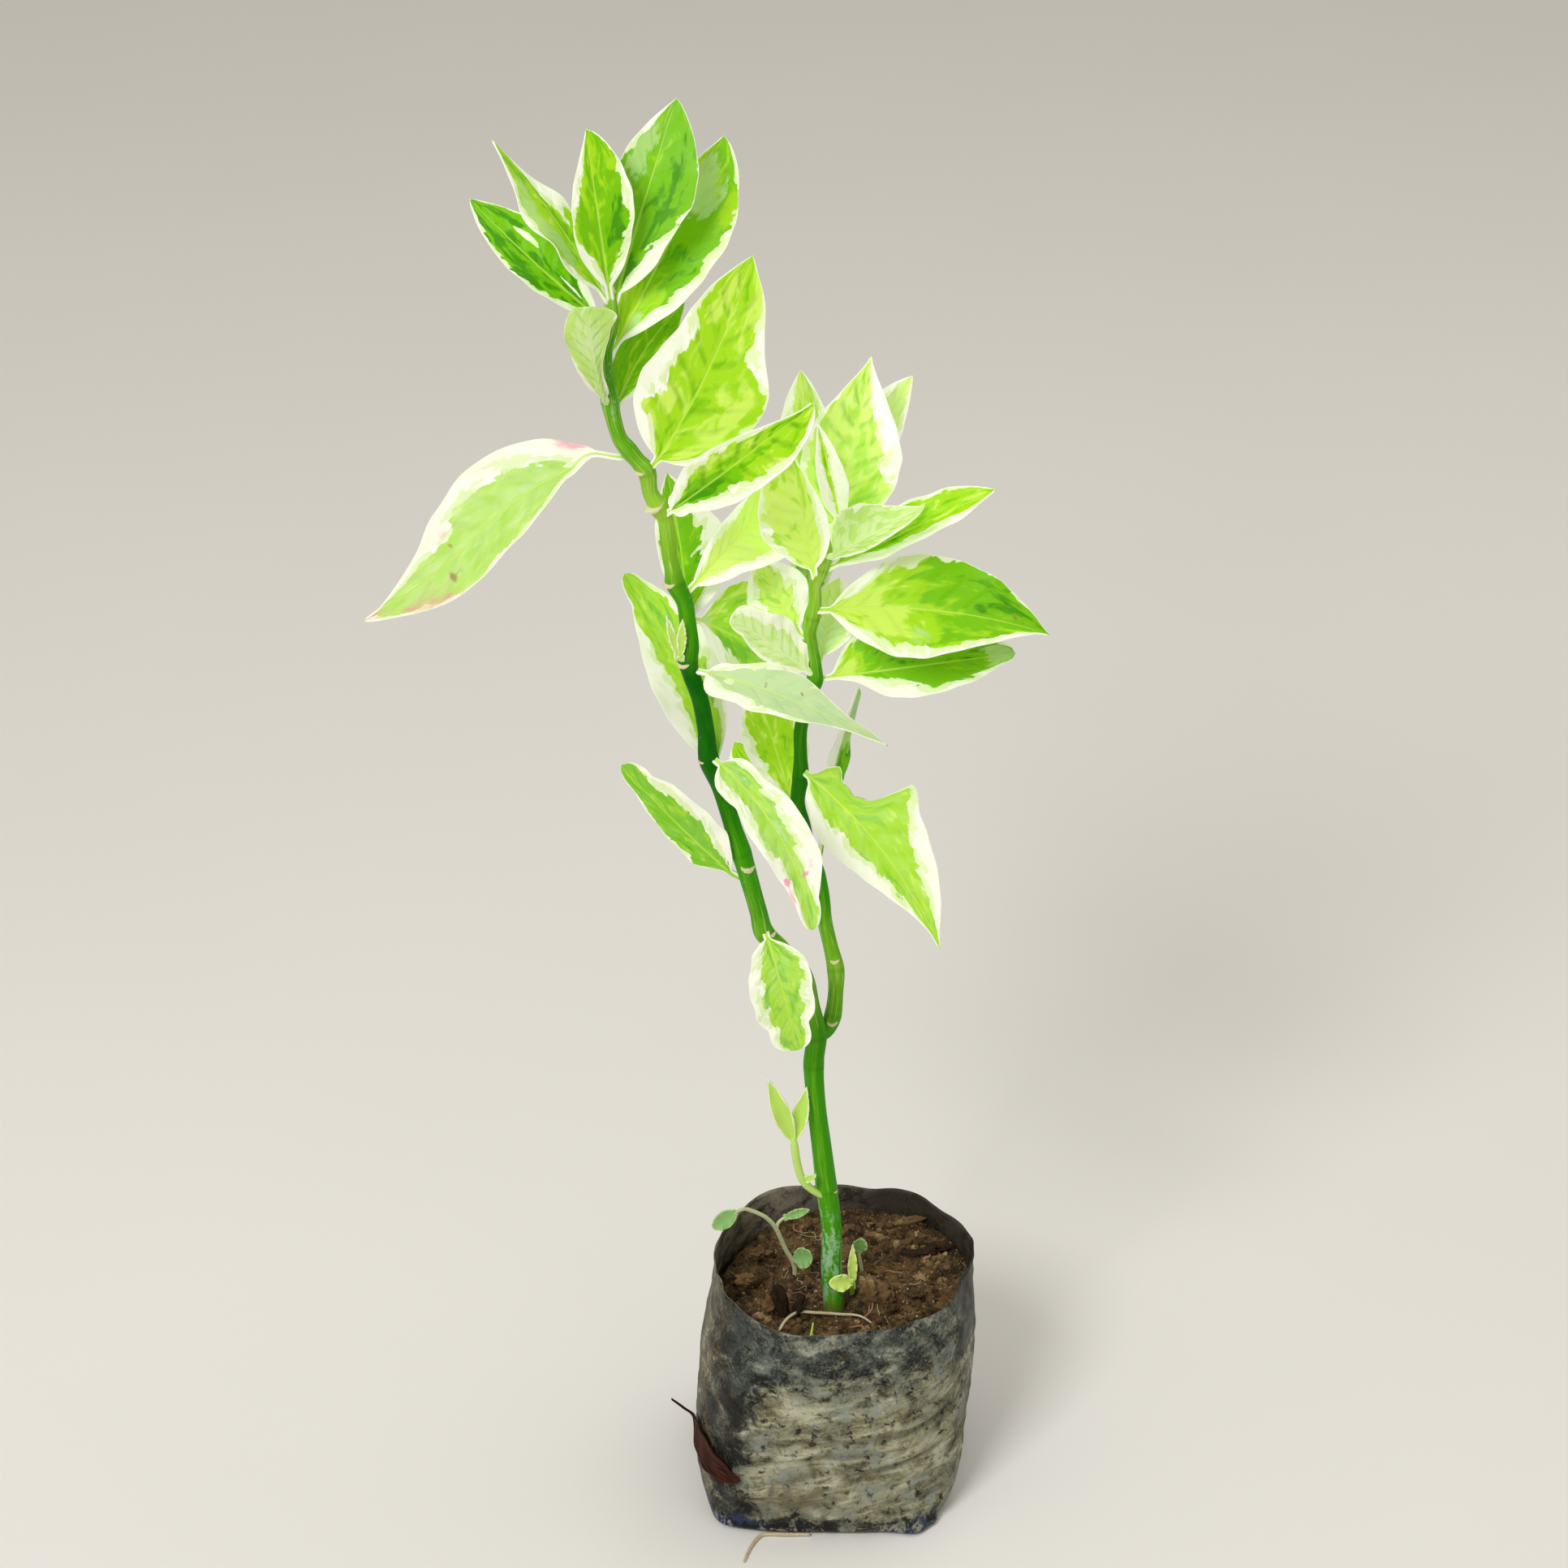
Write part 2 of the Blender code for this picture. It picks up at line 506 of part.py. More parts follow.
# Dead leaf on the left of the bag: angle, height, stand off from the wall and half width
DEAD_LEAF = [
    (-166, 38, 11, 0.7), (-166, 33, 6, 0.8), (-165, 29, 1.6, 1.2), (-158, 28, 1.0, 4.8),
    (-150, 27, 0.9, 6.0), (-141, 25.5, 0.9, 5.5), (-132, 24.5, 1.2, 3.5), (-126, 24, 1.6, 0.8),
]


def add_dead_leaf():
    """Brown curled leaf lying against the bag wall."""
    grid = np.zeros((len(DEAD_LEAF), 3, 3))
    for row, (angle, height, stand, half) in enumerate(DEAD_LEAF):
        for column, place in enumerate((1, 0, -1)):
            level = height + place * half
            out = stand + 0.3 * abs(place)
            grid[row, column] = bag_point((angle + 360) / 360 * SECTORS, level, -out)
    return add_mesh("dead_leaf", *blade_solid(grid, LEAF_THICKNESS))


def build():
    """Make every piece in an empty scene."""
    for item in list(bpy.data.objects):
        bpy.data.objects.remove(item)
    add_bag()
    add_stem()
    for item in LEAVES:
        add_leaf(item)
    add_shoot("basal_shoot", [BASAL_SHOOT], BASAL_LEAFLETS, stem_cutter("seat", SEAT_GAP))
    add_shoot("node_shoot", [NODE_SHOOT], NODE_LEAFLETS, stem_cutter("seat", SEAT_GAP))
    add_shoot("soil_sprout", [SPROUT], SPROUT_LEAFLETS)
    add_shoot("small_seedling", [SEEDLING], SEEDLING_LEAFLETS)
    add_shoot("weed_seedling", [WEED, WEED_TWIG, WEED_STALK], WEED_LEAFLETS)
    add_shoot("rootlet", [ROOTLET], [])
    add_shoot("grass_blade", [GRASS], [])
    add_shoot("ground_root", [GROUND_ROOT], [])
    add_dead_leaf()
    holes = stem_cutter("hole", SEAT_GAP)
    for rows in (SPROUT, SEEDLING, WEED, ROOTLET, GRASS):
        holes.append(add_mesh("hole", *tube_solid(rows, 6, SEAT_GAP)))
    add_soil(holes)


build()
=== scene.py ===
# %% [markdown]
# This notebook dresses a young variegated devils backbone in a black nursery bag.
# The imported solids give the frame: sizes, places and the body that everything rides on.
# Each solid is then replaced by a finer mesh of the same form, with its own finish.

import math

import bmesh
import bpy
import numpy as np
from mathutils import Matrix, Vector, noise


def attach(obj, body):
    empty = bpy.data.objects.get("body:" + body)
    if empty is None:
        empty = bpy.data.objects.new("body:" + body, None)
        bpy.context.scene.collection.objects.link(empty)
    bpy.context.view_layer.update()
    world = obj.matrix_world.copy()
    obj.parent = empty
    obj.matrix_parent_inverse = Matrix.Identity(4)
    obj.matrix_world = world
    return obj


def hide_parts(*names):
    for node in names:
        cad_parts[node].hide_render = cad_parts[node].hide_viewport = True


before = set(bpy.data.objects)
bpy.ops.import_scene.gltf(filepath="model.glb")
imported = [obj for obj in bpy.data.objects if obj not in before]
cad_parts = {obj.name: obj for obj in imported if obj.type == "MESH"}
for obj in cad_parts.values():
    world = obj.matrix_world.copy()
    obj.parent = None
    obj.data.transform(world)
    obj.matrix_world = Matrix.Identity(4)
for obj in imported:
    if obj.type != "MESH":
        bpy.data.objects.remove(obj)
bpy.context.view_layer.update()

# %% [markdown]
# A plant could be sculpted by hand, but its leaves are many and alike, so every piece
# here is a mesh made in code, with points in millimetres. Numbers that a finish needs,
# such as how far a point is from a midrib, ride on the points as named fields, so that
# one material can dress many leaves.

# %% Make a piece
MM = 0.001


def new_piece(name, points, faces, paint, nodes=(), fields=None, uv=None):
    """A smooth shown mesh with a finish, its fields and the solids that it stands for."""
    mesh = bpy.data.meshes.new(name)
    mesh.from_pydata((np.asarray(points, float) * MM).tolist(), [], faces)
    mesh.update()
    mesh.shade_smooth()
    for field, values in (fields or {}).items():
        layer = mesh.attributes.new(field, "FLOAT", "POINT")
        layer.data.foreach_set("value", np.broadcast_to(values, len(points)).astype(np.float32))
    if uv is not None:
        corners = np.zeros(len(mesh.loops), np.int32)
        mesh.loops.foreach_get("vertex_index", corners)
        layer = mesh.uv_layers.new(name="Surface")
        layer.data.foreach_set("uv", np.asarray(uv, np.float32)[corners].ravel())
    piece = bpy.data.objects.new(name, mesh)
    bpy.context.scene.collection.objects.link(piece)
    mesh.materials.append(paint)
    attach(piece, "root")
    if nodes:
        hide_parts(*nodes)
    return piece


# %% [markdown]
# Finishes are node trees. They could be wired by hand in the shader editor, but masks
# are easier to read as Python expressions. So a small class wraps a socket and turns
# +, -, * and / into Math nodes.

# %% Sums of sockets
class Wire:
    """A socket of a finish that takes part in sums."""

    def __init__(self, finish, socket):
        self.finish = finish
        self.socket = socket

    def maths(self, operation, *others):
        """The result of a Math node on this value and others."""
        values = dict(enumerate((self, *others)))
        return self.finish.node("ShaderNodeMath", {"operation": operation}, values)

    def __add__(self, other):
        return self.maths("ADD", other)

    __radd__ = __add__

    def __sub__(self, other):
        return self.maths("SUBTRACT", other)

    def __rsub__(self, other):
        return self.finish.node("ShaderNodeMath", {"operation": "SUBTRACT"}, {0: other, 1: self})

    def __mul__(self, other):
        return self.maths("MULTIPLY", other)

    def __truediv__(self, other):
        return self.maths("DIVIDE", other)

    def ramp(self, low, high):
        """0 below low and 1 above high, with a soft change between."""
        settings = {"interpolation_type": "SMOOTHSTEP"}
        values = {"Value": self, "From Min": low, "From Max": high}
        return self.finish.node("ShaderNodeMapRange", settings, values)


# %% [markdown]
# A finish is one material. Its methods add the few kinds of nodes that this plant needs,
# and its last method connects what changes over the surface to the shader. What is the
# same all over a surface is set on the shader itself.

# %% Finish
class Finish:
    """A material whose nodes are written as expressions."""

    def __init__(self, name, roughness, **constants):
        self.material = bpy.data.materials.new(name)
        self.material.use_nodes = True
        self.tree = self.material.node_tree
        self.shader = self.tree.nodes["Principled BSDF"]
        self.shader.inputs["Roughness"].default_value = roughness
        for socket, value in constants.items():
            self.shader.inputs[socket.replace("_", " ")].default_value = value

    def node(self, kind, settings, values, output=0):
        """A new node: its settings first, then values or links for its sockets."""
        node = self.tree.nodes.new(kind)
        for key, value in settings.items():
            setattr(node, key, value)
        for key, value in values.items():
            self.put(node.inputs[key], value)
        return Wire(self, node.outputs[output])

    def put(self, socket, value):
        """Links a wire to a socket, or sets the socket's own value."""
        if isinstance(value, Wire):
            self.tree.links.new(value.socket, socket)
        else:
            socket.default_value = value

    def field(self, name):
        """A number that rides on the points of the mesh."""
        return self.node("ShaderNodeAttribute", {"attribute_name": name}, {}, output=2)

    def place(self):
        """The point's own place on the object."""
        return self.node("ShaderNodeTexCoord", {}, {}, output=3)

    def vector(self, x, y, z):
        """Three numbers as one vector."""
        return self.node("ShaderNodeCombineXYZ", {}, {0: x, 1: y, 2: z})

    def cloud(self, where, scale, detail=2.0, rough=0.5, bend=0.0):
        """Soft noise between 0 and 1."""
        values = {"Vector": where, "Scale": scale, "Detail": detail, "Roughness": rough,
                  "Distortion": bend}
        return self.node("ShaderNodeTexNoise", {}, values)

    def cells(self, where, scale):
        """Distance to the nearest of many scattered points."""
        return self.node("ShaderNodeTexVoronoi", {}, {"Vector": where, "Scale": scale})

    def mix(self, share, first, second):
        """A colour between first and second."""
        values = {0: share, 6: first, 7: second}
        return self.node("ShaderNodeMix", {"data_type": "RGBA"}, values, output=2)

    def bump(self, height, strength, distance):
        """A normal from a height."""
        values = {"Height": height, "Strength": strength, "Distance": distance}
        return self.node("ShaderNodeBump", {}, values)

    def finish(self, colour, normal=None, roughness=None, light=None, glow=1.0):
        """Connects what changes over the surface to the shader."""
        self.put(self.shader.inputs["Base Color"], colour)
        if normal is not None:
            self.put(self.shader.inputs["Normal"], normal)
        if roughness is not None:
            self.put(self.shader.inputs["Roughness"], roughness)
        if light is not None:
            self.put(self.shader.inputs["Emission Color"], light)
            self.shader.inputs["Emission Strength"].default_value = glow
        return self.material


def tint(red, green, blue):
    """A colour from 0 to 255 as the shader's linear numbers."""
    parts = []
    for value in (red, green, blue):
        share = value / 255
        parts.append(share / 12.92 if share <= 0.04045 else ((share + 0.055) / 1.055) ** 2.4)
    return (*parts, 1.0)


# %% [markdown]
# The leaves of this plant are waxy and a little fleshy. The green grows outward from the
# midrib along the side veins and stops at a jagged edge, and what lies beyond is cream.
# A painted picture could show that, but it would fit one leaf only. So the pattern is
# worked out in the leaf's own directions: how far along the midrib the side vein starts
# that a point lies on, and how far out the point is.

# %% Leaf finish
CREAM = tint(244, 246, 231)
CREAM_SHADE = tint(226, 238, 190)
LIME_PALE = tint(200, 232, 92)
LIME = tint(160, 214, 28)
GREEN = tint(116, 188, 4)
GREEN_DEEP = tint(68, 146, 0)
SOFT_GREEN = tint(224, 242, 190)
# Green of the painted shade in the creases between side veins
CREASE_SHADE_GREEN = tint(96, 162, 8)
# Cool pale greens of waxy bloom, which also serve as painted sheen
BLOOM_AND_SHEEN = tint(182, 220, 134)
FROST_AND_SHEEN = tint(188, 210, 176)
UNDER_GREEN = tint(212, 234, 170)
UNDER_LIME = tint(186, 224, 110)
UNDER_CREAM = tint(238, 242, 216)
PALE_GREEN = tint(204, 230, 140)
BLUSH = tint(238, 112, 164)
TAN_MARK = tint(150, 104, 66)
# Side veins from the base of a leaf to its tip
SIDE_VEINS = 9.0


def leaf_clouds(f):
    """Place on the side veins, distance outward, and four noises that follow the veins."""
    across = f.field("across")
    out = across.maths("ABSOLUTE")
    vein = f.field("along") - out * f.field("slant")
    side = across.maths("SIGN") * 4.0 + f.field("seed") * 13.7
    broad = f.cloud(f.vector(vein * 8.0, out * 1.5, side), 1.0, 2.0, 0.6)
    fine = f.cloud(f.vector(vein * 30.0, out * 6.0, side + 5.0), 1.0, 3.0, 0.6)
    patch = f.cloud(f.vector(vein * 6.5, out * 2.8, side + 9.0), 1.0, 2.5, 0.55, 0.6)
    wash = f.cloud(f.vector(vein * 12.0, out * 3.4, side + 21.0), 1.0, 2.0, 0.6, 0.5)
    return vein, out, broad, fine, patch, wash


def leaf_green(f, tone, cool, wash):
    """Greens from pale lime to deep, under a cool bloom that is partly painted sheen."""
    soft = f.field("soft")
    green = f.mix((tone - 0.2).ramp(-0.1, 0.08), LIME_PALE, LIME)
    green = f.mix((tone - 0.5).ramp(-0.12, 0.1), green, GREEN)
    green = f.mix((tone - 0.85).ramp(-0.08, 0.12), green, GREEN_DEEP)
    green = f.mix(cool, green, f.mix(f.field("bloom").ramp(0.85, 1.0), BLOOM_AND_SHEEN, FROST_AND_SHEEN))
    pale = (soft + (wash - 0.5) * 0.6).ramp(-0.1, 1.0)
    return f.mix(pale * soft.ramp(0.0, 0.15), green, SOFT_GREEN)


def leaf_underside(f, tone, cool, green_share, crease_shade, rim, midrib):
    """The same pattern, paler, as it shows on the lower face."""
    below = f.mix(tone.ramp(0.1, 0.25) * 0.75, UNDER_GREEN, UNDER_LIME)
    below = f.mix(cool, below, f.mix(f.field("bloom").ramp(0.85, 1.0), UNDER_GREEN, FROST_AND_SHEEN))
    below = f.mix(green_share, UNDER_CREAM, below)
    # A trace of the painted crease shade also shows on the lower face.
    below = f.mix(crease_shade * 0.12, below, GREEN)
    below = f.mix(rim * 0.6, below, CREAM)
    return f.mix(midrib * 0.4, below, CREAM_SHADE)


def leaf_finish():
    """Cream edged green leaf with patches that follow the side veins."""
    f = Finish("leaf_variegated", 0.42, Specular_IOR_Level=0.16)
    vein, out, broad, fine, patch, wash = leaf_clouds(f)
    edge = f.field("green") + (broad - 0.5) * 0.75 + (fine - 0.5) * 0.24
    green_share = (edge - 0.04).ramp(-0.015, 0.02)
    change = (patch - 0.5) * 1.35 + (fine - 0.5) * 0.22
    tone = f.field("deep") + change * (1 - f.field("soft") * 1.2)
    # Cool patches from the bloom field: partly waxy bloom, partly painted sheen.
    cool = (f.field("bloom") + (patch - 0.5) * 0.9 + (fine - 0.5) * 0.4).ramp(0.4, 0.52) * 0.75
    rim = 1 - (f.field("edge") + (fine - 0.5) * 0.5).ramp(0.08, 0.36)
    midrib = 1 - (f.field("off") / (1.2 - f.field("along"))).ramp(0.25, 0.75)
    # Soft dark lines between side veins are painted crease shade; the vein field sets how strong.
    line = ((vein * SIDE_VEINS + (broad - 0.5) * 0.6).maths("FRACT") - 0.5).maths("ABSOLUTE")
    inside = (1 - out.ramp(0.5, 0.9)) * out.ramp(0.02, 0.12) * (0.4 + wash.ramp(0.38, 0.6) * 0.6)
    crease_shade = (1 - line.ramp(0.0, 0.26)) * inside
    washed = (edge + (wash - 0.5) * 0.5).ramp(-0.16, -0.1) * wash.ramp(0.4, 0.46)
    cream = f.mix(wash.ramp(0.35, 0.75) * 0.5, CREAM, CREAM_SHADE)
    cream = f.mix(washed * 0.55, cream, PALE_GREEN)
    colour = f.mix(green_share, cream, leaf_green(f, tone, cool, wash))
    colour = f.mix(rim * 0.8, colour, CREAM)
    colour = f.mix(midrib * 0.55, colour, LIME_PALE)
    colour = f.mix(crease_shade * green_share * f.field("vein"), colour, CREASE_SHADE_GREEN)
    stain = (f.field("blush") + (fine - 0.5) * 0.7 + (wash - 0.5) * 0.4).ramp(0.3, 0.9)
    colour = f.mix(stain * 0.7, colour, BLUSH)
    mark = (f.field("mark") + (fine - 0.5) * 0.6).ramp(0.3, 0.7)
    colour = f.mix(mark * 0.7, colour, TAN_MARK)
    below = leaf_underside(f, tone, cool, green_share, crease_shade, rim, midrib)
    colour = f.mix(f.field("under") * 0.85, colour, below)
    normal = f.bump(crease_shade * -0.8 + midrib * -0.5 + fine * 0.2 + broad * 0.5, 0.45, 0.0006)
    # The glow field sets a painted glow: light shining through the leaf, lifting shaded leaves.
    light = f.mix(f.field("glow"), (0, 0, 0, 1), colour)
    return f.finish(colour, normal, roughness=0.36 + wash * 0.18, light=light)


leaf_paint = leaf_finish()
print("leaf finish has", len(leaf_paint.node_tree.nodes), "nodes")

# %% [markdown]
# A leaf is described by its midrib and the width of its two halves. The tables hold
# nearly the same values as the plant's solids, and after them what is only seen here:
# how far the green reaches on each half, and spots that are deeper, cooler or pinker.
# A few deep spots are painted shadow, and the cool spots are partly painted sheen.
# No two leaves of the plant are alike, so each has its own few lines.

# %% One leaf
# Places along the midrib at which left and right say how far out the green reaches
STATIONS = (0.0, 0.15, 0.3, 0.45, 0.6, 0.75, 0.9, 1.0)
PLAIN_LEFT = (0.4, 0.6, 0.8, 0.85, 0.85, 0.85, 0.9, 1.0)
PLAIN_RIGHT = (0.4, 0.55, 0.75, 0.8, 0.85, 0.9, 0.9, 1.0)


def leaf(name, base, reach, halves, widest=(0.45, 0.45), bow=0.0, sweep=0.0, ess=0.0,
         roll=0.0, fold=(15, 15), power=0.9, stalk=4.0, wave=0.8, bite=0.0, **looks):
    """One leaf: its midrib, half widths, arch, S bend, turn and fold, then its looks.

    Among the looks, shape holds changes of a half's width: the half (2 for both), the
    place along the midrib, the share and the spread. Spots hold the name of a field, the
    places along and across, the spread along and across, and the amount.
    """
    return {
        "name": name, "base": base, "reach": reach, "halves": halves, "widest": widest,
        "bow": bow, "sweep": sweep, "ess": ess, "roll": roll, "fold": fold,
        "power": power, "stalk": stalk, "wave": wave, "bite": bite, "looks": looks,
    }


print("green is set at", len(STATIONS), "places along each leaf")

# %% Leaves of the left branch
LEFT_LEAVES = [
    leaf("left_leaf_01_small_hanging", (-23, -21, 253), (12, -18, -40), (12, 12),
         widest=(0.36, 0.42), bow=3, sweep=-0.5, power=0.85,
         deep=0.42, blunt=(0.53, 0.74), soft=0.15,
         shape=[(1, 0.14, 0.35, 0.06), (2, 0.74, 0.35, 0.11)], butt=(0.3, 0.45),
         left=(0.5, 0.75, 0.85, 0.7, 0.6, 0.55, 0.75, 0.8),
         right=(0.3, 0.5, 0.62, 0.62, 0.65, 0.7, 0.65, 0.7)),
    leaf("left_leaf_02_side", (-32, -22, 274), (-41, 8, 42), (6.5, 16),
         bow=3, sweep=1, roll=-35, deep=0.62, blunt=0.5, soft=0.1, shape=[(0, 0.22, 0.6, 0.1)],
         spots=[("mark", 0.14, 0.6, 0.02, 0.1, 1.0)],
         left=(0.8, 0.8, 0.9, 1.0, 1.0, 0.9, 0.95, 1.0),
         right=(0.6, 0.5, 0.5, 0.6, 0.6, 0.62, 0.8, 0.9)),
    leaf("left_leaf_03_front_drooping", (-41, -25, 325), (35, -27, -54), (10.4, 10.2),
         bow=5, sweep=-5, roll=-20, deep=0.42, blunt=0.45, soft=0.22, glow=0.2, butt=(0.75, 0.85),
         shape=[(0, 0.68, 0.2, 0.14), (1, 0.76, -0.1, 0.06)],
         left=(0.8, 0.75, 0.6, 0.45, 0.32, 0.3, 0.7, 0.9),
         right=(0.5, 0.5, 0.6, 0.7, 0.6, 0.5, 0.7, 0.9),
         spots=[("bloom", 0.5, 0.0, 0.5, 2.0, 0.4), ("blush", 0.73, 0.7, 0.016, 0.14, 1.9),
                ("blush", 0.73, -0.3, 0.014, 0.14, 1.2), ("blush", 0.68, -0.6, 0.06, 0.25, 0.5),
                ("blush", 0.8, 0.9, 0.1, 0.3, 0.65)]),
    leaf("left_leaf_04_back_upright", (-39, -19, 314), (-33, 37, 61), (14, 13.5),
         widest=(0.42, 0.5), bow=4, sweep=3, roll=18, deep=0.4, blunt=0.36, soft=0.1,
         left=(0.7, 0.5, 0.35, 0.35, 0.6, 0.85, 0.95, 1.0),
         right=(0.9, 0.8, 0.66, 0.6, 0.66, 0.75, 0.8, 0.9)),
    leaf("left_leaf_05_pale_crossing", (-46, -21, 357), (66, -12, -23), (10.5, 12),
         widest=(0.36, 0.36), bow=6, sweep=2, roll=-40, power=0.75, deep=0.05, vein=0.0, glow=0.15,
         shape=[(2, 0.78, -0.4, 0.14), (1, 0.25, 0.15, 0.12)], butt=(0.6, 1.1),
         left=(0.4, 0.6, 0.9, 1.0, 1.0, 1.0, 1.0, 1.0),
         right=(0.2, 0.4, 0.75, 0.95, 1.05, 1.1, 1.1, 1.1),
         spots=[("bloom", 0.5, 0.0, 0.7, 2.0, 1.5), ("green", 0.17, 0.05, 0.03, 0.12, -0.75),
                ("mark", 0.34, -0.2, 0.016, 0.12, 0.8), ("mark", 0.52, -0.4, 0.006, 0.04, 1.3),
                ("mark", 0.68, -0.42, 0.006, 0.04, 1.3), ("green", 0.26, 0.75, 0.05, 0.2, -0.6)]),
    leaf("left_leaf_06_back_right", (-47, -16, 375), (33, 49, -46), (22, 16),
         widest=(0.42, 0.45), bow=3, roll=-20, fold=(5, 5), deep=0.3, glow=0.22, soft=0.1,
         left=(0.8, 0.9, 1.1, 1.1, 1.1, 1.1, 1.0, 1.0),
         right=(0.1, 0.3, 0.55, 0.65, 0.55, 0.5, 0.6, 0.8),
         spots=[("bloom", 0.05, 0.0, 0.08, 1.0, 1.2), ("deep", 0.35, 0.25, 0.15, 0.2, 0.35)]),
    leaf("left_leaf_07_behind", (-49, -17, 370), (-8, 46, 39), (10, 17), bow=3, roll=25,
         deep=0.6, right=(0.4, 0.5, 0.5, 0.45, 0.5, 0.5, 0.6, 0.7)),
    leaf("left_leaf_08_centre", (-50, -16, 384), (33, 46, 22), (9, 17),
         widest=(0.45, 0.62), bow=4, roll=25, deep=-0.05, glow=0.32, soft=0.15,
         shape=[(1, 0.3, -0.2, 0.16)],
         left=(0.5, 0.6, 0.7, 0.8, 0.85, 0.9, 0.95, 1.0),
         right=(0.3, 0.45, 0.65, 0.75, 0.8, 0.9, 0.95, 1.0),
         # The deep spot at the tip is painted shadow.
         spots=[("deep", 0.95, 0.0, 0.14, 1.0, 0.8)]),
    leaf("left_leaf_09_folded", (-56, -20, 416), (50, -19, 50), (11, 15),
         widest=(0.35, 0.62), bow=3, sweep=1, fold=(35, 35), deep=0.24, glow=0.14,
         vein=0.8, quilt=1.2, butt=(0.5, 0.35),
         left=(0.2, 0.45, 0.7, 0.75, 0.8, 0.85, 0.9, 1.0),
         right=(0.2, 0.35, 0.5, 0.62, 0.7, 0.75, 0.75, 0.8),
         spots=[("deep", 0.3, 0.25, 0.3, 0.3, 0.75), ("deep", 0.85, -0.3, 0.15, 0.5, 0.4),
                ("deep", 0.2, -0.2, 0.2, 0.4, 0.5)]),
    leaf("left_leaf_10_broad", (-60, -21, 434), (34, 8, 73), (21.5, 22.5),
         widest=(0.4, 0.38), bow=2, sweep=3, power=0.65, deep=0.22, vein=0.5, quilt=1.1,
         left=(0.5, 0.5, 0.58, 0.62, 0.6, 0.8, 0.95, 1.0),
         right=(0.6, 0.9, 1.0, 1.0, 0.7, 0.85, 0.95, 1.0),
         spots=[("green", 0.23, -0.74, 0.03, 0.1, 0.9), ("deep", 0.35, 0.0, 0.25, 0.5, 0.15)],
         shape=[(0, 0.6, -0.22, 0.18), (1, 0.72, -0.14, 0.1), (1, 0.5, 0.1, 0.07)]),
    leaf("left_leaf_11_long_drooping", (-70.5, -20.5, 438), (-88.5, -10.5, -57), (14.5, 18.5),
         widest=(0.52, 0.36), bow=6, sweep=2.5, ess=3.5, power=1.05, roll=15, stalk=8,
         deep=0.32, glow=0.1, vein=0.12, soft=0.32, butt=(0.2, 0.3),
         neck=(3.2, 0.09, 0.055), joint=(0, 0, -2.0),
         shape=[(0, 0.13, -0.6, 0.1), (1, 0.16, 0.2, 0.08), (1, 0.9, 0.3, 0.1),
                (0, 0.88, -0.2, 0.12)],
         left=(0.5, 0.6, 0.85, 1.0, 0.97, 0.92, 0.88, 0.9),
         right=(0.2, 0.22, 0.62, 0.66, 0.42, 0.62, 0.75, 0.85),
         spots=[("blush", 0.13, 0.95, 0.07, 0.4, 0.75), ("blush", 0.8, -0.75, 0.08, 0.25, 0.5),
                ("mark", 0.655, -0.45, 0.012, 0.28, 0.95), ("mark", 0.63, -0.5, 0.008, 0.22, 0.7),
                ("mark", 0.6, -0.35, 0.008, 0.22, 0.6), ("mark", 0.72, -0.4, 0.008, 0.22, 0.6),
                ("mark", 0.61, 0.25, 0.01, 0.16, 0.6), ("blush", 0.69, -0.9, 0.05, 0.2, 0.5),
                ("bloom", 0.5, 0.0, 0.5, 1.5, 0.35), ("blush", 0.6, 0.6, 0.08, 0.2, 0.45),
                ("blush", 0.95, 0.0, 0.06, 1.0, 0.5), ("green", 0.1, 0.0, 0.05, 1.0, -0.4),
                ("green", 0.98, 0.0, 0.045, 1.0, -0.9), ("blush", 0.74, -0.2, 0.2, 0.8, 0.36),
                ("mark", 0.56, 0.93, 0.006, 0.04, 1.2)]),
    leaf("left_leaf_12_cupped", (-75, -20, 457), (-5, -13, 40), (9, 10),
         widest=(0.6, 0.6), bow=-4, roll=165, power=0.5, deep=0.34, vein=0.5, glow=0.0,
         shape=[(0, 0.4, -0.75, 0.35), (1, 0.3, -0.2, 0.3), (0, 0.93, 0.5, 0.08)],
         spots=[("bloom", 0.7, 0.0, 0.3, 1.0, 0.6), ("mark", 0.5, 0.3, 0.012, 0.3, 0.6),
                ("mark", 0.6, 0.2, 0.01, 0.3, 0.5)],
         left=(0.3, 0.5, 0.7, 0.9, 1.1, 1.1, 1.1, 1.1),
         right=(0.3, 0.5, 0.7, 0.9, 1.1, 1.1, 1.1, 1.1)),
    leaf("left_leaf_13_dark", (-73, -16, 451), (24, 23, 31), (10, 9), sweep=-3, roll=20,
         deep=0.62, left=(0.6, 0.9, 1.1, 1.1, 1.1, 1.1, 1.1, 1.1),
         right=(0.4, 0.5, 0.7, 0.8, 0.9, 1.0, 1.0, 1.0)),
]
print(len(LEFT_LEAVES), "leaves on the left branch")

